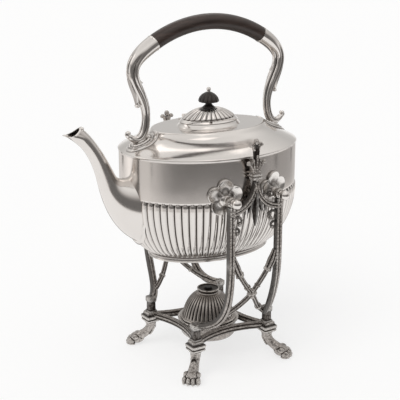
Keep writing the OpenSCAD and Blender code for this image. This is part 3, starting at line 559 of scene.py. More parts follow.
def make_drum():
    """Oval drum with a plain band above and upright reeds round the belly."""
    reeds, per = 76, 12
    angles = arc_angles(DRUM_A - RIM_LIP, DRUM_B - RIM_LIP, reeds * per)
    t = np.concatenate([np.linspace(0, 0.14, 12), np.linspace(0.17, 1, 30)])
    belly = bezier([(31, 0), (12.4, 9.75), (1.6, 35.1), (1, 57.85)], t) + (0, WALL_Z)
    upper = [(RIM_LIP, z) for z in (*np.linspace(188.6, 197, 13), 203, 215, 226, 233, 235.6, 236.5)]
    rim = [(RIM_LIP, 237.4), (0.95, 238.6), (0.75, 239.4), (0.3, 239.8), (0.1, RIM_Z)]
    line = np.vstack([belly, upper, rim])
    along = np.concatenate([[0], np.cumsum(np.linalg.norm(np.diff(line, axis=0), axis=1))])[:, None]
    slope = np.gradient(line, axis=0)
    out = unit(np.stack([slope[:, 1], slope[:, 0]], 1))
    # Each reed is a half round with round ends, and stands out of a groove that fades away at both ends
    top = np.interp(REED_TOP, line[:, 1], along[:, 0])
    top_end = np.clip((along - (top - 3.6)) / 3.6, 0, None)
    low_end = np.clip((1.2 + 2.4 - along) / 2.4, 0, None)
    reed = round_top(over_flutes(reeds, per), top_end, low_end)
    zone = smooth_step((top + 0.6 - along) / 2.6) * smooth_step(along / 1.5)
    rise = reed - 1.15 * (1 - reed) * zone
    rise[-len(rim) - 1:] = 0
    d, z = line[:, :1] - rise * out[:, :1], line[:, 1:] + rise * out[:, 1:]
    outer = np.stack([(DRUM_A - d) * np.cos(angles), (DRUM_B - d) * np.sin(angles), z], -1)
    inner_line = [(p[0] + WALL + 1.2, p[1]) for p in belly[::6]]
    inner_line += [(WALL + RIM_LIP, 200), (WALL + RIM_LIP, 232), (WALL, RIM_Z)]
    inner = oval_rings(drum_levels(inner_line[::-1]), angles)
    # Tarnish and painted shade in the grooves round the reeds
    dark = np.vstack([0.9 * zone * (1 - reed)**1.6, np.zeros((len(inner), len(angles)))])
    shape = Shape().skin(np.vstack([outer, inner]), dark, loop=True)
    # Opening into the spout
    at = np.vstack(shape.points)
    open_at = (at[:, 0] < 0) & (np.hypot(at[:, 1], at[:, 2] - WALL_Z - 60) < 15.5)
    shape.faces = [f for f in shape.faces if not open_at[f].all()]
    piece("drum", shape, "kettle", ["kettle_drum"], POLISHED)


def make_base_band():
    """Plain band under the reeds, with the bottom of the kettle."""
    angles = arc_angles(DRUM_A - 31, DRUM_B - 31, 256)
    line = [(62, 125.7), (37, 125.7), (33, 127), (31.6, 130.6), (30.8, 131.2), (30.2, 130.8), (30.2, 130.2),
            (30.8, 129.8), (31.1, 129.0), (31.1, 127.4), (30.9, 126.0), (30.4, 125.4), (30.0, 124.8),
            (30.1, 124.2), (30.6, 124.0), (36, 124.0), (37.2, 124.6), (62, 124.7)]
    # Painted shade: the whole band is darkened a little, as if it mirrored the shaded ground under the
    # kettle; its groove is darker, with tarnish and painted shade
    dark = np.full((len(line), 1), 0.16)
    dark[7:9] = 0.7
    shape = Shape().skin(oval_rings(drum_levels(line), angles), dark)
    piece("base_band", shape, "kettle", ["kettle_base"], POLISHED)


def make_shoulder():
    """Sloping shoulder that sweeps up to a flat top with the filler opening."""
    angles = arc_angles(DRUM_A, DRUM_B, 288)
    edge = [(0.1, RIM_Z), (0.12, 240.4), (0.5, 240.9)]
    slope = curve([(1.2, 241.3), (5, 243.3), (12.4, 246.5), (20, 249.3), (27, 252.4), (31.2, 255.2),
                   (33.8, 258.2)], 5)
    bend = [(34.5, 259.1), (35.1, 259.7), (35.8, 259.95), (36.6, TOP_Z)]
    flat = [(60, 39.5, TOP_Z), (45, 29.8, TOP_Z), (33, 23, TOP_Z), (FILLER_A, FILLER_B, TOP_Z),
            (FILLER_A, FILLER_B, 258.7)]
    under = [(38, 258.7), (38.6, 257), (38.2, 254.3), (35.5, 251.9), (24, 249.3), (12, 245.2),
             (WALL + 0.6, 241.2), (WALL, RIM_Z)]
    levels = np.vstack([drum_levels(np.vstack([edge, slope, bend])), flat, drum_levels(under)])
    shape = Shape().skin(oval_rings(levels, angles), loop=True)
    piece("shoulder", shape, "kettle", ["kettle_shoulder"], POLISHED)


def make_bezel():
    """Sloping ring round the filler, which carries the lid."""
    steps = [(7.2, 0), (7.1, 0.3), (6.6, 0.8), (5.9, 1.6), (5.2, 2.5), (4.7, 3.3), (4.5, 3.8), (4.1, 4.0),
             (0.3, 4.0), (0, 3.7), (0, 0)]
    levels = [(FILLER_A + out, FILLER_B + out, TOP_Z + up) for out, up in steps]
    shape = Shape().skin(oval_rings(levels, arc_angles(30, 20, 192)), loop=True)
    piece("bezel", shape, "kettle", ["filler_bezel"], POLISHED)


def make_lid():
    """Oval lid with a sloping flange and a fluted dome."""
    flutes, per, dome_rise = 26, 12, 10.0
    angles = arc_angles(30, 20, flutes * per)
    u = np.concatenate([np.linspace(0, 0.10, 8), np.linspace(0.14, 1, 19)])[:, None]
    a, b = 30.2 - 23.2 * u, 20.2 - 13.6 * u
    z = DOME_Z + 0.1 + dome_rise * np.sin(math.pi / 2 * u**0.92)
    lobe = round_top(over_flutes(flutes, per), np.clip((0.085 - u) / 0.085, 0, 1))
    rise = (1.25 - 0.8 * u) * lobe - 0.25
    lean = np.arctan2(23.2, dome_rise * math.pi / 2 * np.cos(math.pi / 2 * u))
    out, up = rise * np.cos(lean), rise * np.sin(lean)
    dome = np.stack([(a + out) * np.cos(angles), (b + out) * np.sin(angles), z + up], -1)
    flange = [(33.4, 23.4, SEAT_Z), (33.5, 23.5, SEAT_Z + 0.2), (33.2, 23.2, SEAT_Z + 0.6),
              (32.3, 22.3, SEAT_Z + 1.5), (31.3, 21.3, DOME_Z - 0.5), (30.6, 20.6, DOME_Z - 0.1),
              (30.0, 20.0, DOME_Z + 0.1)]
    turns = np.radians(np.linspace(90, 0, 9))
    inside = [(6 + 21 * math.cos(t), 5.4 + 11.7 * math.cos(t), DOME_Z - 0.6 + 9 * math.sin(t))
              for t in turns]
    rings = np.vstack([oval_rings(inside + [(27.1, 17.1, SEAT_Z)] + flange, angles), dome])
    # Tarnish and painted shade between the flutes, and round the top of the dome
    dark = np.zeros(rings.shape[:2])
    dark[-len(dome):] = 0.85 * (1 - lobe)**1.3
    dark[-1] = 0.4
    shape = Shape().skin(rings, dark, caps=False)
    # Bore for the finial's screw, with painted shade on its walls
    bore_r = WALL + 0.3
    bore = [oval_rings([(bore_r, bore_r, ring[0, 2])], angles)[0] for ring in (rings[0], rings[-1])]
    for ends in ((rings[0], bore[0]), (rings[-1], bore[1]), bore):
        shape.skin(ends, 0.4, caps=False)
    piece("lid", shape, "lid", ["lid_dome"], POLISHED)


def make_lid_vent():
    """Small turned vent in the flange, with painted shade inside."""
    rings = turned_rings([(1.9, -0.9), (1.8, 0.3), (1.5, 0.5), (1.25, 0.4), (1.2, 0.1), (0.02, 0.1)], 24)
    dark = [[0], [0], [0.3], [1], [1], [1]]
    x, a, b = -11.0, 32.4, 22.4
    place = (x, -b * math.sqrt(1 - (x / a)**2), SEAT_Z + 1.75)
    piece("lid_vent", Shape().skin(aim(rings, place, (-0.2, -0.8, 1)), dark), "lid", [], POLISHED)


def make_finial():
    """Carved mushroom finial with pleats all round."""
    pleats, per = 14, 10
    across = np.abs(over_flutes(pleats, per))
    line = curve([(1.62, 0.4), (6.3, 0.0), (6.5, 0.6), (5.6, 1.5), (3.9, 3.0), (3.3, 4.6), (3.5, 5.6),
                  (6.4, 5.7), (9.6, 5.9), (10.9, 6.8), (10.7, 8.6), (9.4, 11.4), (7.0, 13.9), (4.4, 15.5),
                  (2.9, 16.3), (1.62, 16.5)], 4)
    r, z = line[:, :1], line[:, 1:]
    depth = 1.1 * smooth_step((r - 3.2) / 5) * smooth_step((z - 5) / 1.5)
    depth = depth + 0.35 * smooth_step((4.5 - z) / 2) * smooth_step((r - 3) / 2)
    rings = turned_rings(line, pleats * per, -depth * (1 - round_top(across)))
    rings[..., 2] += LID_TOP_Z
    dark = np.clip(depth, 0, 1) * across**3
    shape = Shape().skin(rings, dark, caps=False, loop=True)
    piece("finial", shape, "lid", ["finial_cap"], FINIAL_WOOD)


SPOUT_LOW = [(-22, 12), (5, 20), (21, 46), (29.5, 78)]
SPOUT_LOW_TIP = [(29.5, 78), (35, 102), (42, 126), (67.5, 136.5)]
SPOUT_TOP = [(-17, 85.5), (3, 85.5), (9, 84), (13, 92)]
SPOUT_TOP_TIP = [(13, 92), (21, 108), (33, 132), (48.5, 143.5)]


def spout_rings(thin):
    """Rings of the spout, from the drum to the lip, set in by a thickness."""
    n = 72
    a = full_turn(n)
    t0, t1 = np.linspace(0.02, 1, 34), np.linspace(0, 1, 34)[1:]
    low = np.vstack([bezier(SPOUT_LOW, t0), bezier(SPOUT_LOW_TIP, t1)])
    top = np.vstack([bezier(SPOUT_TOP, t0), bezier(SPOUT_TOP_TIP, t1)])
    wide = [[[26], [23.4], [13], [10]], [[10], [7.5], [5.8], [6.3]]]
    wide = np.vstack([bezier(wide[0], t0), bezier(wide[1], t1)])
    middle, reach = (low + top) / 2, (top - low) / 2
    if thin:
        reach = reach * (1 - 2 * thin / np.linalg.norm(reach * 2, axis=1, keepdims=True))
    # The throat and the beak narrow underneath, so the section is a soft egg
    egg = 1 - 0.10 * np.cos(a) * np.linspace(0, 1, len(wide))[:, None]
    x = -DRUM_A - middle[:, :1] - reach[:, :1] * np.cos(a)
    z = WALL_Z + middle[:, 1:] + reach[:, 1:] * np.cos(a)
    y = (wide - thin) * np.sin(a) * egg
    # Beak: the sides of the mouth dip, the lower lip spreads and lifts
    beak = smooth_step((np.arange(len(wide)) - len(wide) + 9) / 8)[:, None]
    low_lip = np.clip(-np.cos(a), 0, 1)
    z = z - beak * (2.6 * np.sin(a)**2 - 0.9 * low_lip**2)
    return np.stack([x, y * (1 + 0.22 * beak * np.sqrt(np.clip(0.3 - np.cos(a), 0, 1))), z], -1)


def make_spout():
    """Swan neck spout. Where it would reach into the drum, it is laid on the drum's wall."""
    outer, inner = spout_rings(0.0), spout_rings(WALL * 0.9)
    lip = (outer[-1] + inner[-1]) / 2 + (0, 0, 0.35)
    rings = np.vstack([outer, lip[None], inner[::-1]])
    inset = np.interp(rings[..., 2], [130, 139.7, 165.1, 187.9], [31, 12.4, 2.2, 1.0]) + 0.75
    a, b = DRUM_A - inset, DRUM_B - inset
    reach = np.sqrt((rings[..., 0] / a)**2 + (rings[..., 1] / b)**2)
    inside = (reach < 1) & (rings[..., 2] < RIM_Z)
    x_wall = -a * np.sqrt(np.clip(1 - (rings[..., 1] / b)**2, 0, 1))
    rings[..., 0] = np.where(inside, x_wall, rings[..., 0])
    shape = Shape().skin(rings, loop=True)
    ball(shape, outer[-1, 0] + (1.0, 0, -1.6), (2.3, 3.6, 2.3))
    piece("spout_neck", shape, "kettle", ["spout"], POLISHED, angle=50)


# The grip's top stays just inside the CAD box, which is 375 mm high
GRIP_HALF, GRIP_CURVE, GRIP_R, GRIP_TOP = 65.3, 133.0, 8.2, 374.98
GRIP_Z = GRIP_TOP - GRIP_R - GRIP_CURVE
GRIP_TURN = math.asin(GRIP_HALF / GRIP_CURVE)
GRIP_END = np.array([GRIP_HALF, GRIP_Z + GRIP_CURVE * math.cos(GRIP_TURN)])
GRIP_DIR = np.array([math.cos(GRIP_TURN), -math.sin(GRIP_TURN)])


def make_grip():
    """Curved wooden grip with softened ends."""
    a = np.linspace(-GRIP_TURN, GRIP_TURN, 61)
    path = flat_path(np.stack([GRIP_CURVE * np.sin(a), GRIP_Z + GRIP_CURVE * np.cos(a)], 1))
    path = np.vstack([path[:1], path[:1] + 0.25 * (path[1:2] - path[:1]), path[1:-1],
                      path[-1:] + 0.25 * (path[-2:-1] - path[-1:]), path[-1:]])
    size = np.full(len(path), GRIP_R)
    size[[0, -1]] = GRIP_R - 0.5
    shape = Shape().skin(sweep(path, size, circle_outline(40)))
    piece("wooden_grip", shape, "kettle", ["handle_grip"], GRIP_WOOD)


def arm_line():
    """Middle line and half size of one handle arm, from the grip to the shoulder."""
    bulge, waist, foot = (90.2, 322.0), (75.8, 276.0), (96, 257.5)
    paths = [[GRIP_END, GRIP_END + 16 * GRIP_DIR, (bulge[0], 333), bulge],
             [bulge, (bulge[0], 308), (waist[0], 296), waist],
             [waist, (waist[0], 258), (84.8, 247.5), foot]]
    sizes = [(8.2, 8.2, 7.0, 6.4), (6.4, 6.3, 5.4, 4.3), (4.3, 4.8, 5, 2.4)]
    t = np.linspace(0, 1, 27)
    line = np.vstack([bezier(p, t[k > 0:]) for k, p in enumerate(paths)])
    size = np.concatenate([bezier([[v] for v in s], t[k > 0:])[:, 0] for k, s in enumerate(sizes)])
    return line, size


def make_arm(end, name):
    """Grooved arm with leaves, an inner spur, an outer lobe and a foot that curls out over the drum."""
    line, size = arm_line()
    t = np.linspace(0, 1, len(line))
    n = 48
    a = full_turn(n)
    # Deep grooves run along the arm below the grip, and fade out at the grip and the foot
    groove = 0.30 * smooth_step((t - 0.10) / 0.2) * smooth_step((1.02 - t) / 0.2)
    lines = 1 - np.abs(np.sin(2.5 * (a + math.pi / 2)))
    r = 1 - groove[:, None] * lines**1.5
    outline = np.stack([r * np.cos(a) * 1.08, r * np.sin(a)], -1)
    # The grooves carry tarnish and painted shade
    shape = Shape().skin(sweep(flat_path(line), size, outline), 1.9 * groove[:, None] * lines**2)
    across = unit(np.gradient(line, axis=0))[:, ::-1] * (1, -1)

    def beside(at, off):
        """Points part of the way along the arm, and off to its side."""
        middle, out = (np.stack([np.interp(at, t, v) for v in rows.T], 1) for rows in (line, across))
        return flat_path(middle + np.asarray(off)[:, None] * out)

    s = np.linspace(0, 1, 18)
    leaf(shape, beside(0.27 + 0.185 * s, 4.0 + 3.6 * s**5), 2.7, 1.7)
    leaf(shape, beside(0.34 + 0.235 * s, -(4.4 + 4.2 * s**3)), 4.0, 2.9, blunt=0.45)
    ball(shape, beside([0.578], [-8.0])[0], (2.4, 3.8, 2.0))
    for sign in (-1, 1):
        curl = beside(0.36 + 0.27 * s, 1.8 - 2.4 * s)
        curl[:, 1] = sign * (4.3 + 0.9 * np.sin(math.pi * s))
        leaf(shape, curl, 2.4, 1.2, side=(1, 0, 0.5))
    tip = line[-1]
    hook = tip + [(-7, -5.2), (-1.8, -0.6), (1.7, 1.2), (2.3, 3.6), (0.6, 4.6)]
    rod(shape, flat_curve(hook), (3.2, 1.7), ribbed_outline(5, 0.15, 30))
    ball(shape, (tip[0] + 0.5, 0, tip[1] + 4.2), (2.0, 3.4, 2.0))
    ring = flat_path([GRIP_END + step * GRIP_DIR for step in (-0.1, 0.5, 1.7, 2.3)])
    shape.skin(sweep(ring, [8.2, 8.6, 8.6, 8.1], circle_outline(40)))
    piece(f"arm_{name}", shape.turned(end, 1), "kettle", [f"handle_arm_{name}"], POLISHED)


def shoulder_height(d):
    """Height of the shoulder at a distance in from the rim."""
    return np.interp(d, [0, 1.2, 5, 12.4, 20, 27, 31.2, 33.8, 34.5],
                     [240.4, 241.3, 243.3, 246.5, 249.3, 252.4, 255.2, 258.2, 259.1])


def make_plate(end, name):
    """Foot of the arm, a fan of ridges that spreads over the shoulder."""
    n, m = 96, 34
    a = full_turn(n)
    s = np.linspace(0.03, 1, m)[:, None]
    x = 81 + 17.4 * s * np.cos(a) + 4 * (1 - s)
    y = 14.4 * s * np.sin(a)
    far = np.sqrt((x / DRUM_A)**2 + (y / DRUM_B)**2)
    ground = shoulder_height(np.clip(DRUM_A * (1 - far), 0, 34.5))
    ridges = np.interp(s, [0, 0.3, 0.36, 0.44, 0.52, 0.58, 0.66, 0.74, 0.80, 0.88, 0.96, 1.0],
                       [6.4, 5.4, 4.0, 3.5, 4.1, 2.8, 2.3, 2.9, 1.7, 1.5, 1.2, 0.15])
    fan = 1 + 0.06 * np.cos(14 * a) * smooth_step((s - 0.2) * 3)
    over = np.stack([x, y, ground + ridges * fan], -1)
    under = np.stack([x, y, ground - 0.8], -1)[::-1]
    # Tarnish and painted shade between the ridges
    dark = np.interp(s, [0.3, 0.40, 0.46, 0.56, 0.62, 0.70, 0.78, 0.86, 0.95, 1],
                     [0, 0.6, 0, 0.1, 0.6, 0, 0.5, 0, 0, 0.6])
    shape = Shape().skin(np.vstack([over, under]), np.vstack([dark, dark[::-1]]))
    piece(f"plate_{name}", shape.turned(end, 1), "kettle", [f"handle_plate_{name}"], POLISHED)


LUG_Y = 77.5 * math.sqrt(1 - (PIN_X / 100)**2)
LUG_TURN = math.atan(0.775 * PIN_X / math.sqrt(100**2 - PIN_X**2))


def on_drum(p):
    """Points drawn flat, moved to a lug's place on the drum's face."""
    c, s = math.cos(LUG_TURN), math.sin(LUG_TURN)
    return np.array([PIN_X, LUG_Y, PIVOT_Z]) + p @ np.array([[c, -s, 0], [0, 0, 1], [s, c, 0]])


def rosette_petals():
    """Five dished petals with rolled rims, which follow the drum."""
    n, petals, reach, petal_r = 200, 5, 19.5, 8.58
    a = full_turn(n) + math.pi / 2
    half_turn = math.pi / petals
    away = (a - math.pi / 2 + half_turn) % (2 * half_turn) - half_turn
    c = reach - petal_r
    rim = c * np.cos(away) + np.sqrt(petal_r**2 - (c * np.sin(away))**2)
    s = np.concatenate([np.linspace(0.02, 0.34, 6), np.linspace(0.38, 1, 26)])[:, None]
    height = np.interp(s, [0, 0.30, 0.36, 0.44, 0.55, 0.66, 0.76, 0.86, 0.92, 0.955, 0.985, 1.0],
                       [3.6, 3.6, 2.4, 1.3, 0.95, 1.15, 1.65, 2.45, 3.05, 3.35, 3.0, 0.4])
    crease = np.exp(-((np.abs(away) - half_turn) / 0.13)**2) * smooth_step((s - 0.35) * 4)
    height = height * (1 - 0.30 * crease)
    x, up = s * rim * np.cos(a), s * rim * np.sin(a) + 2.0
    bend = -x * x / (2 * 118)
    top = np.stack([x, up, height + bend], -1)
    back = np.stack([x, up, bend + 0 * height - 0.6], -1)[::-1]
    # Tarnish and painted shade in the dish of each petal, at its rolled edge and in the creases between
    # petals
    dark = np.interp(s, [0, 0.34, 0.42, 0.5, 0.8, 0.97, 1], [0.1, 0.5, 0.6, 0.2, 0, 0, 0.7])
    dark = dark + 0.45 * crease * smooth_step((0.9 - s) * 5)
    return Shape().skin(on_drum(np.vstack([top, back])), np.vstack([dark, dark[::-1]]))


def make_rosette(end, side, name):
    """Rosette round the boss that takes the pin. The rear bosses are open below, where the pin leaves."""
    boss = [(BORE_R, 3.2), (BORE_R, 7.5), (3.6, 7.5), (4.4, 7.2), (4.5, 6.4), (4.1, 5.9), (4.3, 5.3),
            (5.1, 4.9), (5.2, 4.1), (4.6, 3.6), (5.0, 3.1), (6.2, 2.6), (6.8, 1.6), (6.9, 0.2),
            (BORE_R, 0.2)]
    boss = Shape().skin(aim(turned_rings(boss, 48), (PIN_X, LUG_Y, PIVOT_Z), (0, 1, 0)), loop=True)
    knife = None
    if end > 0:
        t = np.radians(np.linspace(4, -26, 13)[1:])
        around_pin = np.stack([-PIN_X + 2 * PIN_X * np.cos(t), PIVOT_Z + 2 * PIN_X * np.sin(t)], 1)
        box = [(-1, -1), (1, -1), (1, 1), (-1, 1)]
        knife = Shape().skin(sweep(flat_path(around_pin, 80), (2.9, BORE_R), box)).turned(end, side)
    lug = [f"lug_{name}"]
    piece(f"rosette_{name}", rosette_petals().turned(end, side), "kettle", lug, SATIN)
    piece(f"boss_{name}", boss.turned(end, side), "kettle", lug, POLISHED, knife=knife)


def make_pin(end, side, name):
    """Loose pin with a collar and a ball head."""
    r, head_y = 5.15, 94.7
    t = np.radians(np.linspace(28, 178, 22))
    head = [(r * math.sin(v), head_y - r * math.cos(v)) for v in t]
    line = [(0.02, 77.75), (1.7, 77.75), (2.15, 78.2), (2.15, 88.55), (3.3, 88.62), (3.75, 89.0),
            (3.7, 89.6), (3.0, 89.95), (2.45, 90.15)] + head
    shape = Shape().skin(aim(turned_rings(line, 48), (PIN_X, 0, PIVOT_Z), (0, 1, 0)))
    piece(f"ball_pin_{name}", shape.turned(end, side), f"pin_{name}", [f"pin_{name}"], POLISHED)


# The stand

# Middle line of an upright, from the side frame down to its post
SWEEP = [(PIN_X, FRAME_MID, SWEEP_Z), (PIN_X, FRAME_MID, SWEEP_Z - 47), (23.3, 69.36, 57.8),
         (45, POST, 55.8)]


def make_side_frame(side, name):
    """Reeded uprights and arcs, a tied sheaf, leaves, and scrolls under the arcs."""
    shape = Shape()
    bar = reeded_outline()
    y, half = FRAME_MID, FRAME_T / 2
    eye = [(BORE_R, -3.2), (4.2, -3.2), (5.2, -2.6), (5.6, -1.6), (5.6, 1.6), (5.2, 2.6), (4.6, 3.2),
           (3.9, 3.3), (3.5, 2.8), (BORE_R, 2.7)]
    for e in (-1, 1):
        up = flat_path([(e * PIN_X, z) for z in np.linspace(SWEEP_Z, 194.2, 16)], y)
        shape.skin(sweep(up, (3.8, half), bar, side=(1, 0, 0)), reed_grooves())
        a = np.radians(np.linspace(-2, 88, 34))
        arc = flat_path(np.stack([e * (PIN_X - PIN_X * np.sin(a)), ARC_Z - PIN_X * np.cos(a)], 1), y)
        shape.skin(sweep(arc, (half, 3.0), bar[:, ::-1]), reed_grooves())
        shape.skin(aim(turned_rings(eye, 40), (e * PIN_X, y, PIVOT_Z), (0, 1, 0)), loop=True)
        # Strands of the sheaf, which curl out into balls
        strand = [(2.2, 218), (2.7, 224), (4.6, 230.5), (7.6, 234.8), (9.4, 236.2)]
        rod(shape, flat_curve(strand, y + 1, flip=e), (1.7, 1.35))
        ball(shape, (e * 9.5, y + 1, 236.0), 2.5)
        strand = [(1.2, 218), (1.9, 226), (3.1, 233), (4.0, 238.4)]
        rod(shape, flat_curve(strand, y + 1.8, flip=e), (1.5, 1.1))
        ball(shape, (e * 4.1, y + 1.8, 238.6), 1.4)
        # Lobes of the tip
        lobe = [(2.2, 248.5), (3.6, 252.6), (5.4, 254.7), (6.6, 254.0)]
        rod(shape, flat_curve(lobe, y, flip=e), (1.9, 1.5))
        ball(shape, (e * 6.4, y, 253.6), (1.9, 2.2, 1.9))
        # Scrolls and a leaf in the corner under the arc, darkened with tarnish and painted shade
        scroll(shape, (e * 20.6, 177.5), 6.4, 3.0, 90 - e * 80, 90 + e * 150, y, 1.6, 2.6, 0.3)
        scroll(shape, (e * 22.4, 167.0), 4.6, 2.0, 90 - e * 60, 90 + e * 170, y, 1.5, 2.2, 0.5)
        path = flat_curve([(2, 206), (8, 199), (12.5, 191), (12.2, 183.5)], y, flip=e)
        leaf(shape, path, 2.6, 2.2, lobes=3, dark=0.35)
    # Middle strand, fluted stem and the two bands that tie the sheaf
    strand = flat_curve([(0, 217), (0, 226), (0, 235), (0, 242.5)], y + 2)
    rod(shape, strand, (1.6, 1.2), side=(1, 0, 0))
    ball(shape, (0, y + 2, 242.6), 1.5)
    stem_z = np.linspace(212, 253.5, 22)
    stem = flat_path([(0, z) for z in stem_z], y)
    size = np.stack([np.interp(stem_z, [212, 222, 238, 248, 253.5], [3.4, 3.3, 2.9, 4.1, 3.0]),
                     np.interp(stem_z, [212, 240, 253.5], [3.0, 2.4, 2.2])], 1)
    # Painted shade: the stem of the near frame is made much darker than the stem of the far frame
    shape.skin(sweep(stem, size, ribbed_outline(9, 0.28, 90), side=(1, 0, 0)), 0.6 if side < 0 else 0.1)
    ball(shape, (0, y, 256.8), (3.0, 2.9, 3.3))
    outline = ((-1, -1), (0, -1.12), (1, -1), (1, 1), (0, 1.12), (-1, 1))
    for z in (219.6, 222.9):
        band = [(5.2, z), (5.5, z + 0.7), (5.5, z + 1.3), (5.2, z + 1.7)]
        shape.skin([[(x * across, y + (half + 0.6) * deep * (x / 5.5), h) for across, deep in outline]
                    for x, h in band])
    # Middle and side leaves, which hang below the sheaf, darkened with tarnish and painted shade
    path = flat_curve([(0, 210), (0, 197), (0, 184), (0, 170)], y, 8)
    leaf(shape, path, 5.6, 2.9, lobes=5, dark=0.45)
    for e in (-1, 1):
        path = flat_curve([(1.5, 207), (4.6, 199), (6.6, 190), (8.6, 184.5)], y, flip=e)
        leaf(shape, path, 3.4, 2.5, lobes=3, dark=0.4)
    piece(f"frame_{name}", shape.turned(1, side), "stand", [f"side_frame_{name}"], CAST)


def make_upright(end, side, name):
    """Reeded upright that sweeps in under the drum and turns onto its post."""
    t = np.linspace(0, 1, 44)
    turn = np.stack([np.ones(44), -0.9 * t, 0 * t], 1)
    size = np.stack([np.interp(t, [0, 0.25, 0.6, 0.85, 1], [3.8, 3.7, 3.9, 4.2, 4.3]),
                     np.interp(t, [0, 0.7, 1], [3.25, 2.9, 3.1])], 1)
    shape = Shape().skin(sweep(bezier(SWEEP, t), size, reeded_outline(), turn), reed_grooves())
    steps = [(40.6, 5.0), (41.6, 5.2), (42.3, 5.2), (42.8, 4.3), (43.8, 4.0), (52.2, 3.9), (53.0, 4.6),
             (54.0, 4.9), (58.0, 4.9), (58.8, 4.5), (59.4, 3.4)]
    # Tarnish and painted shade in the grooves between the steps of the post
    dark = [[0.9], [0.2], [0.2], [0.8], [0.3], [0.3], [0.8], [0.2], [0.1], [0.2], [0.3]]
    shape.skin([[(POST + r * x, POST + r * y, z) for x, y in chamfered(0.8)] for z, r in steps], dark)
    piece(f"leg_bar_{name}", shape.turned(end, side), "stand", [f"upright_{name}"], CAST, angle=45)


def make_brace(side, name):
    """Crossed stems between the uprights, tied with collars and a knot."""
    shape = Shape()
    cross = bezier(SWEEP, 0.3) * (0, 1, 1)
    low = bezier(SWEEP, 0.8)
    upper = [(26.25, FRAME_MID, 140), (21.24, FRAME_MID, 122), (10.03, cross[1] + 2, cross[2] + 13), cross]
    lower = [cross, cross + (-8.85, -2.5, -11), low + (17.7 - 2 * low[0], 4, 10), low * (-1, 1, 1)]
    stem = np.vstack([bezier(upper, np.linspace(0, 1, 30)), bezier(lower, np.linspace(0, 1, 24))[1:]])
    last = len(stem) - 1
    size = np.interp(np.linspace(0, 1, len(stem)), [0, 0.12, 0.22, 0.25, 0.9, 1],
                     [3.0, 4.5, 3.9, 2.8, 2.9, 3.7])
    for e in (-1, 1):
        path = stem * (e, 1, 1)
        shape.skin(sweep(path, size, ribbed_outline(6, 0.30, 48)), rib_grooves(6, 48))
        for at, r, h in ((0.24, 4.3, 3.4), (0.455, 3.7, 1.8), (0.86, 3.9, 2.6), (0.545, 3.7, 1.8)):
            i = int(at * last)
            collar = [(1.5, -h / 2), (r * 0.8, -h / 2), (r, -h / 4), (r * 0.86, 0), (r, h / 4),
                      (r * 0.8, h / 2), (1.5, h / 2)]
            shape.skin(aim(turned_rings(collar, 24), path[i], path[i + 1] - path[i - 1]))
        for sign in (-1, 1):
            ball(shape, path[int(0.24 * last)] + (sign * 3.0, 0, sign * -2.0 * e), 1.5)
    for dx, dz in ((3.4, 0), (-3.4, 0), (0, 3.4), (0, -3.4)):
        ball(shape, cross + (dx, 0.6, dz), (2.6, 2.9, 2.6))
    ball(shape, cross, (3.4, 3.6, 3.4))
    piece(f"brace_{name}", shape.turned(1, side), "stand", [f"cross_brace_{name}"], CAST)


def make_base():
    """Bowed bars with ribbed tops that meet in moulded square corners."""
    shape = Shape()
    bow = 12.5
    bow_r = (POST**2 + bow**2) / (2 * bow)
    turn = math.asin(POST / bow_r)
    w, ridge = over_ribs(3, 8)
    rim = [(1.0, 0.3), (1.08, 0.1), (1.08, -0.25), (0.92, -0.4), (0.92, -0.6), (1.0, -0.75), (0.85, -1)]
    outline = np.vstack([np.stack([w, 0.62 + 0.38 * ridge], 1), rim, [(-x, z) for x, z in rim[::-1]]])
    # Tarnish and painted shade in the grooves between the ribs and under the moulded edge
    edge = [0.1, 0, 0.3, 0.8, 0.8, 0.2, 0.3]
    grooves = np.concatenate([0.9 * (1 - ridge)**1.2, edge, edge[::-1]])
    a = np.linspace(-turn, turn, 41)
    x, y = bow_r * np.sin(a), bow - POST - bow_r + bow_r * np.cos(a)
    for k in range(4):
        c, s = math.cos(k * math.pi / 2), math.sin(k * math.pi / 2)
        path = np.stack([c * x - s * y, s * x + c * y, np.full(41, BAR_Z)], 1)
        across = np.cross(unit(np.gradient(path, axis=0)), (0, 0, 1))
        shape.skin(sweep(path, (3.0, 3.5), outline, across), grooves)
    steps = [(29.2, 5.6), (29.6, 7.4), (30.4, 8.1), (31.6, 8.1), (32.2, 7.4), (32.9, 7.3), (33.4, 8.2),
             (34.4, 8.5), (36.0, 8.5), (36.7, 7.9), (37.2, 6.9), (38.4, 6.5), (40.2, 6.2), (40.8, 5.5)]
    # Tarnish and painted shade in the grooves between the steps of the corner blocks
    dark = [[0.2], [0.1], [0], [0], [0.6], [0.9], [0.1], [0], [0], [0.6], [0.7], [0.3], [0], [0.1]]
    block = np.array([[(CORNER + r * x, CORNER + r * y, z) for x, y in chamfered(0.86)] for z, r in steps])
    collar = turned_rings([(5, 28.0), (6.6, 28.1), (7.2, 28.7), (7.0, 29.4), (5, 29.6)], 40)
    for e in (-1, 1):
        for f in (-1, 1):
            shape.skin(block * (e, f, 1), dark)
            shape.skin(collar + (e * CORNER, f * CORNER, 0))
    piece("base", shape, "stand", ["base_frame"], CAST)


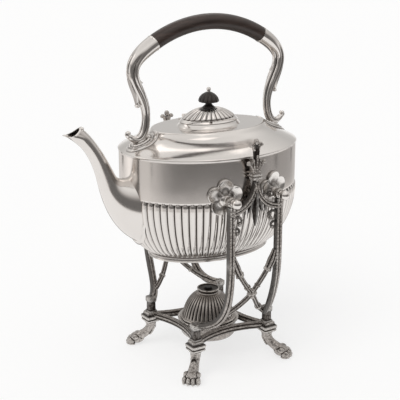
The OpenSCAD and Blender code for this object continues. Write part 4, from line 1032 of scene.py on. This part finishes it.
def make_foot(end, side, name):
    """Short curved leg that ends in a lion's paw with four toes."""
    shape = Shape()
    reach = math.sqrt(2) * (61.5 - CORNER)
    t = np.linspace(0, 1, 22)
    path = bezier([(0, 28.2), (-1, 19), (0.35 * reach, 13), (0.75 * reach, 8.7)], t)
    size = np.stack([np.interp(t, [0, 0.25, 0.55, 1], [6.3, 5.2, 5.0, 6.4]),
                     np.interp(t, [0, 0.25, 0.55, 1], [6.2, 5.2, 4.9, 5.2])], 1)
    shape.skin(sweep(flat_path(path), size, circle_outline(24)))
    # Tufts of fur on both sides
    for k in range(3):
        tuft = [(-4.2 + 1.1 * k, 24.0 - 3.2 * k), (-4.0 + 1.6 * k, 21.0 - 3.0 * k),
                (-2.6 + 1.8 * k, 18.8 - 2.9 * k)]
        for sign in (-1, 1):
            rod(shape, flat_curve(tuft, sign * 2.2, 5), (1.5, 1.0), circle_outline(8))
    # Pad, then the knuckle, front, tip and sole of each toe
    ball(shape, (reach - 4, 0, 7.0), (8.6, 8.6, 6.2))
    for k in (-1.5, -0.5, 0.5, 1.5):
        back = 0.9 * k * k
        ball(shape, (reach - 1.2 - back, 4.5 * k, 9.3), (4.2, 2.8, 3.1))
        ball(shape, (reach + 3.6 - back, 4.9 * k, 4.7), (4.3, 2.75, 4.0))
        ball(shape, (reach + 6.6 - back, 5.0 * k, 2.6), (2.4, 1.5, 1.9))
        ball(shape, (reach + 2.5 - back, 4.9 * k, 1.6), (4.4, 2.5, 1.6))

    def to_corner(p):
        """Points drawn along X, moved to point out of a corner, with a flat sole."""
        c = math.sqrt(0.5)
        x, y, z = p.T
        return np.stack([CORNER + c * (x - y), CORNER + c * (x + y), np.maximum(z, 0.02)], 1)

    paw = Shape().join(shape, to_corner).turned(end, side)
    piece(f"paw_{name}", paw, "stand", [f"foot_{name}"], PAW, cell=0.42, rounds=2)


def make_leg_reflection_disc():
    """Dark round disc on the front of the near leg: a painted reflection of the dark lens that the polished
    leg mirrors.
    """
    line = [(0.02, 0.1), (2.3, 0.25), (2.7, 0.6), (3.05, 0.65), (3.3, 0.3), (3.3, -1.6), (0.02, -1.6)]
    dark = [[1], [1], [0.8], [0.1], [0.3], [0], [0]]
    reach = CORNER + 7.7 * math.sqrt(0.5)
    shape = Shape().skin(aim(turned_rings(line, 32), (-reach, -reach, 20.0), (-1, -1, 0.35)), dark)
    piece("leg_reflection_disc", shape, "stand", [], CAST)


def make_dish():
    """Round dish with a rolled rim, which holds the burner."""
    line = [(0.02, 21.8), (20, 21.7), (25.8, 21.8), (28.6, 22.6), (30.2, 24.6), (30.6, 28), (30.6, 38.6),
            (31.2, 39.9), (33.4, 40.05), (34.0, 40.5), (33.9, 41.1), (33.0, 41.4), (30.4, 41.3),
            (29.5, 40.6), (29.2, 38), (29.2, 26), (28.2, 24.0), (26, 23.05), (20, 23), (0.02, 23)]
    piece("dish", Shape().skin(turned_rings(line, 96)), "stand", ["burner_dish"], CAST)


def make_burner():
    """Bell shaped burner with close flutes, and a beaded collar with a flared mouth."""
    flutes, per = 38, 10
    foot = [(0.02, 23.2), (21.5, 23.2), (24.5, 24.0), (26.2, 25.4), (26.4, 28), (26.2, 38.6), (27.0, 41.3),
            (28.6, 41.7), (30.6, 41.75), (31.3, 42.2), (31.1, 42.8), (30.1, 43.2), (29.5, 43.25)]
    bell = curve([(29.3, 43.4), (28.4, 46.5), (27.2, 50.5), (25.3, 55.5), (22.7, 60.5), (19.4, 64.8),
                  (16.0, 67.9), (13.4, 69.5), (10.6, 70.2)], 4)
    inner = [(7.5, 69.0), (12.5, 68.0), (17.5, 64.5), (21.5, 59), (24.3, 52), (25, 44), (24, 26.2),
             (0.02, 24.6)]
    line = np.vstack([foot, bell])
    zone = smooth_step((line[:, 1:] - 43.6) / 2.5) * smooth_step((line[:, :1] - 12.6) / 3)
    scoop = 1 - round_top(over_flutes(flutes, per))
    outer = turned_rings(line, flutes * per, -1.7 * zone * scoop * (line[:, :1] / 26))
    lining = turned_rings(inner, flutes * per)
    # Tarnish and painted shade in the flutes, and painted shade on the lining inside the bell
    dark = np.vstack([np.clip(zone * scoop * 1.2, 0, 1), np.full((len(lining), flutes * per), 0.7)])
    piece("burner_bell", Shape().skin(np.vstack([outer, lining]), dark), "burner", ["burner_bowl"], WORN)
    collar = [(7.5, 69.4), (11.2, 69.4), (11.7, 70.1), (11.3, 70.9), (10.6, 71.3), (10.5, 72.0),
              (11.2, 72.7), (11.9, 73.4), (12.4, 74.2), (12.4, 74.9), (12.0, 75.2), (11.4, 75.1),
              (10.8, 74.4), (10.2, 72.8), (10.0, 70.6), (7.5, 70.2)]
    beads, n = 24, 96
    wave = np.zeros((len(collar), n))
    wave[1:4] = 0.3 * np.cos(beads * full_turn(n))
    # Painted shade in the neck under the flare and inside the mouth
    dark = np.zeros((len(collar), 1))
    dark[4:6] = 0.8
    dark[12:] = 1.0
    shape = Shape().skin(turned_rings(collar, n, wave), dark, loop=True)
    piece("burner_mouth", shape, "burner", ["burner_collar"], WORN)


# Camera, floor, light and the cards that the silver mirrors

def make_camera():
    data = bpy.data.cameras.new("camera")
    data.lens, data.sensor_width, data.sensor_fit = 87.3, 36.0, "HORIZONTAL"
    data.clip_end = 100
    camera = in_scene("camera", data)
    camera.location = (-0.5220, -0.8365, 0.4741)
    camera.rotation_euler = (math.radians(90 - 16.54), 0, math.radians(-33.08))
    bpy.context.scene.camera = camera


def seen_by_silver(t):
    """One for camera, glossy and transmission rays."""
    rays = t.new("LightPath").outputs
    total = rays["Is Camera Ray"]
    for key in ("Is Glossy Ray", "Is Transmission Ray"):
        total = t.math("ADD", total, rays[key])
        total.node.use_clamp = True
    return total


# Greys from 0 to 1. The floor shows white: what the fill and the sun give it, and a glow for the rest.
FILL, SUN, FLOOR_GREY, FLOOR_WHITE = 0.55, 1.1, 0.42, 0.98
SUN_TILT, SUN_TURN = math.radians(38), math.radians(62)
SKY = ((0.0, 0.965), (0.05, 0.86), (0.16, 0.62), (0.32, 0.58), (0.50, 0.70), (0.72, 0.90), (1.0, 0.78))


def make_world():
    """Plain soft light. The background is white low down and greyer overhead, as in a studio."""
    world = bpy.data.worlds.new("studio")
    bpy.context.scene.world = world
    world.use_nodes = True
    t = Tree(world.node_tree)
    place = t.new("TexCoord").outputs["Generated"]
    ramp = t.new("ValToRGB")
    t.give(ramp.inputs[0], t.new("SeparateXYZ", Vector=place).outputs["Z"])
    stops = ramp.color_ramp.elements
    for k, (position, grey) in enumerate(SKY):
        stop = stops[0] if k == 0 else stops[-1] if k == len(SKY) - 1 else stops.new(position)
        stop.position = position
        stop.color = (grey, grey * 0.99, grey * 0.975, 1)
    lit = t.new("Background", Color=(1, 1, 1, 1), Strength=FILL)
    seen = t.new("Background", Color=ramp.outputs[0])
    mix = t.new("MixShader")
    for socket, value in zip(mix.inputs, (seen_by_silver(t), lit.outputs[0], seen.outputs[0])):
        t.give(socket, value)
    out = next(n for n in t.tree.nodes if n.type == "OUTPUT_WORLD")
    t.give(out.inputs[0], mix.outputs[0])


def make_floor():
    """Pale ground. A glow that only the camera and the silver see brings it up to white."""
    mesh = bpy.data.meshes.new("floor")
    mesh.from_pydata([(-40, -40, 0), (40, -40, 0), (40, 40, 0), (-40, 40, 0)], [], [(0, 1, 2, 3)])
    floor = in_scene("floor", mesh)
    m = Nodes("pale floor")
    shader = m.shader.inputs
    shader["Base Color"].default_value = (FLOOR_GREY, FLOOR_GREY, FLOOR_GREY, 1)
    shader["Roughness"].default_value = 0.9
    shader["Specular IOR Level"].default_value = 0.0
    light = FILL + SUN / math.pi * math.cos(SUN_TILT)
    strength = m.math("MULTIPLY", seen_by_silver(m), FLOOR_WHITE - FLOOR_GREY * light)
    both = m.new("AddShader")
    m.give(both.inputs[0], m.shader.outputs[0])
    m.give(both.inputs[1], m.new("Emission", Strength=strength).outputs[0])
    m.show(both.outputs[0])
    mesh.materials.append(m.material)


def make_sun():
    """One wide soft lamp from the left. The cards are its softboxes in the silver."""
    data = bpy.data.lights.new("soft_sun", "SUN")
    data.energy, data.angle = SUN, math.radians(50)
    data.color = (1.0, 0.985, 0.96)
    lamp = in_scene("soft_sun", data)
    lamp.rotation_euler = (SUN_TILT, 0, -SUN_TURN)
    lamp.visible_glossy = False


def glow_card(name, points, faces, greys):
    """A card that only the silver sees, out of the picture. Each point has its own grey."""
    mesh = bpy.data.meshes.new(name)
    mesh.from_pydata(points, [], faces)
    values = np.asarray(greys, np.float32).ravel()
    mesh.attributes.new("grey", "FLOAT", "POINT").data.foreach_set("value", values)
    card = in_scene(name, mesh)
    m = Nodes(name)
    m.show(m.new("Emission", Color=(1.0, 0.965, 0.94, 1), Strength=m.value("grey")).outputs[0])
    mesh.materials.append(m.material)
    card.visible_camera = card.visible_diffuse = card.visible_shadow = False
    card.visible_transmission = False


def around(azimuth, distance, z):
    """A point round the kettle. Azimuth 0 is towards -Y and 90 towards +X."""
    a = math.radians(azimuth)
    return (HOME_X * 0.001 + distance * math.sin(a), -distance * math.cos(a), z)


# Greys of the studio round the kettle, by azimuth: dark in front, paler to the sides and behind
RING = ((-180, 0.72), (-153, 0.80), (-135, 1.15), (-125, 1.0), (-112, 0.66), (-90, 0.68), (-76, 0.50),
        (-64, 0.31), (-50, 0.20), (-30, 0.17), (0, 0.17), (28, 0.14), (42, 0.20), (56, 0.35), (85, 0.38),
        (98, 0.42), (110, 0.54), (135, 0.64), (180, 0.72))


def grid_card(name, turns, rows, greys):
    """A card that curves round the kettle. Each row is a distance and a height."""
    n = len(turns)
    points = [around(a, distance, z) for distance, z in rows for a in turns]
    corners = [k * n + i for k in range(len(rows) - 1) for i in range(n - 1)]
    glow_card(name, points, [(c, c + 1, c + n + 1, c + n) for c in corners], greys)


def make_floor_card():
    """A ring on the floor, past what the lower part of the kettle mirrors."""
    turns = np.linspace(-180, 180, 145)
    ring = np.interp(turns, *np.array(RING).T)
    rows = ((0.64, 0.0), (0.70, 0.25), (0.76, 0.85), (0.82, 1.0), (1.25, 1.0), (1.95, 1.0), (2.4, 0.0))
    greys = [FLOOR_WHITE + (ring - FLOOR_WHITE) * share for _, share in rows]
    grid_card("floor_ring", turns, [(r, 0.003) for r, _ in rows], greys)


def make_back_card():
    """A dark wedge on the floor behind, which darkens the edges of the upright bars."""
    turns, rows = np.linspace(92, 204, 29), np.array([0.13, 0.2, 0.3, 0.44, 0.54, 0.62])
    across = smooth_step((56 - np.abs(turns - 148)) / 26)
    share = across * smooth_step(np.minimum(rows - 0.13, 0.62 - rows) / 0.07)[:, None]
    greys = FLOOR_WHITE - (FLOOR_WHITE - 0.14) * share
    grid_card("floor_wedge", turns, [(r, 0.002) for r in rows], greys)


def make_room_card():
    """The dark room behind the camera, which the silver mirrors above the floor in front."""
    turns, rows = np.linspace(-104, 74, 37), np.linspace(0.0, 1.25, 11)
    across = smooth_step((89 - np.abs(turns + 15)) / 30)
    share = across * smooth_step((1.25 - rows) / 0.7)[:, None]
    sky = np.interp(rows, [0, 0.1, 0.35, 0.8, 1.25], [0.965, 0.86, 0.66, 0.60, 0.66])[:, None]
    grid_card("dark_room", turns, [(1.9, z) for z in rows], sky + (0.17 - sky) * share)


def make_patch(name, azimuth, height, distance, wide, high, grey):
    """An upright or leaning card that faces the kettle."""
    a, e = math.radians(azimuth), math.radians(height)
    way = np.array([math.cos(e) * math.sin(a), -math.cos(e) * math.cos(a), math.sin(e)])
    side = np.array([math.cos(a), math.sin(a), 0])
    up = np.cross(side, way)
    middle = np.array([HOME_X * 0.001, 0, 0.24]) + distance * way
    corners = [middle + side * wide / 2 * p + up * high / 2 * q
               for p, q in ((-1, -1), (1, -1), (1, 1), (-1, 1))]
    glow_card(name, corners, [(0, 1, 2, 3)], [grey] * 4)


def make_cards():
    make_floor_card()
    make_back_card()
    make_room_card()
    # Softboxes overhead, which light the shoulder, and to the left
    make_patch("softbox_back", 146, 47, 1.2, 0.75, 0.42, 1.55)
    make_patch("softbox_left", -112, 34, 1.3, 0.40, 0.60, 1.6)
    make_patch("softbox_top", 20, 72, 1.2, 0.45, 0.45, 1.35)
    # Narrow dark cards, which give the bright curves their dark lines
    strips = ((101, 0.035), (-118, 0.05), (-84, 0.03), (66, 0.05), (-160, 0.12))
    for k, (azimuth, wide) in enumerate(strips):
        make_patch(f"dark_card_{k}", azimuth, -8, 0.95, wide, 0.36, 0.05)


def make_studio():
    make_camera()
    make_world()
    make_floor()
    make_sun()
    make_cards()


def dress_cad_nodes():
    """The turned pins, rivets and hinge keep their CAD shape and get a worn finish."""
    looks = {"wick_holder": NEAR_BLACK_SILVER, "wick": COTTON}
    for name in ("hinge_leaf", "hinge_pin", "lid_knuckle", "lid_rim", "finial_screw", "finial_nut",
                 "grip_rivets", "spout_strainer", "wick_holder", "wick"):
        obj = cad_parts[name]
        material = looks.get(name, POLISHED)
        if not obj.material_slots:
            obj.data.materials.append(material)
        for slot in obj.material_slots:
            slot.link = "OBJECT"
            slot.material = material


def make_kettle():
    make_drum()
    make_base_band()
    make_shoulder()
    make_bezel()
    make_lid()
    make_lid_vent()
    make_finial()
    make_spout()
    make_grip()
    for end, name in ((-1, "front"), (1, "rear")):
        make_arm(end, name)
        make_plate(end, name)


def make_stand():
    make_base()
    make_dish()
    make_burner()
    make_leg_reflection_disc()
    for side, name in ((-1, "near"), (1, "far")):
        make_side_frame(side, name)
        make_brace(side, name)
    for name, (end, side) in CORNERS.items():
        make_upright(end, side, name)
        make_foot(end, side, name)
        make_rosette(end, side, name)
        make_pin(end, side, name)


make_kettle()
make_stand()
dress_cad_nodes()
make_studio()
bpy.context.scene.view_settings.view_transform = "Standard"
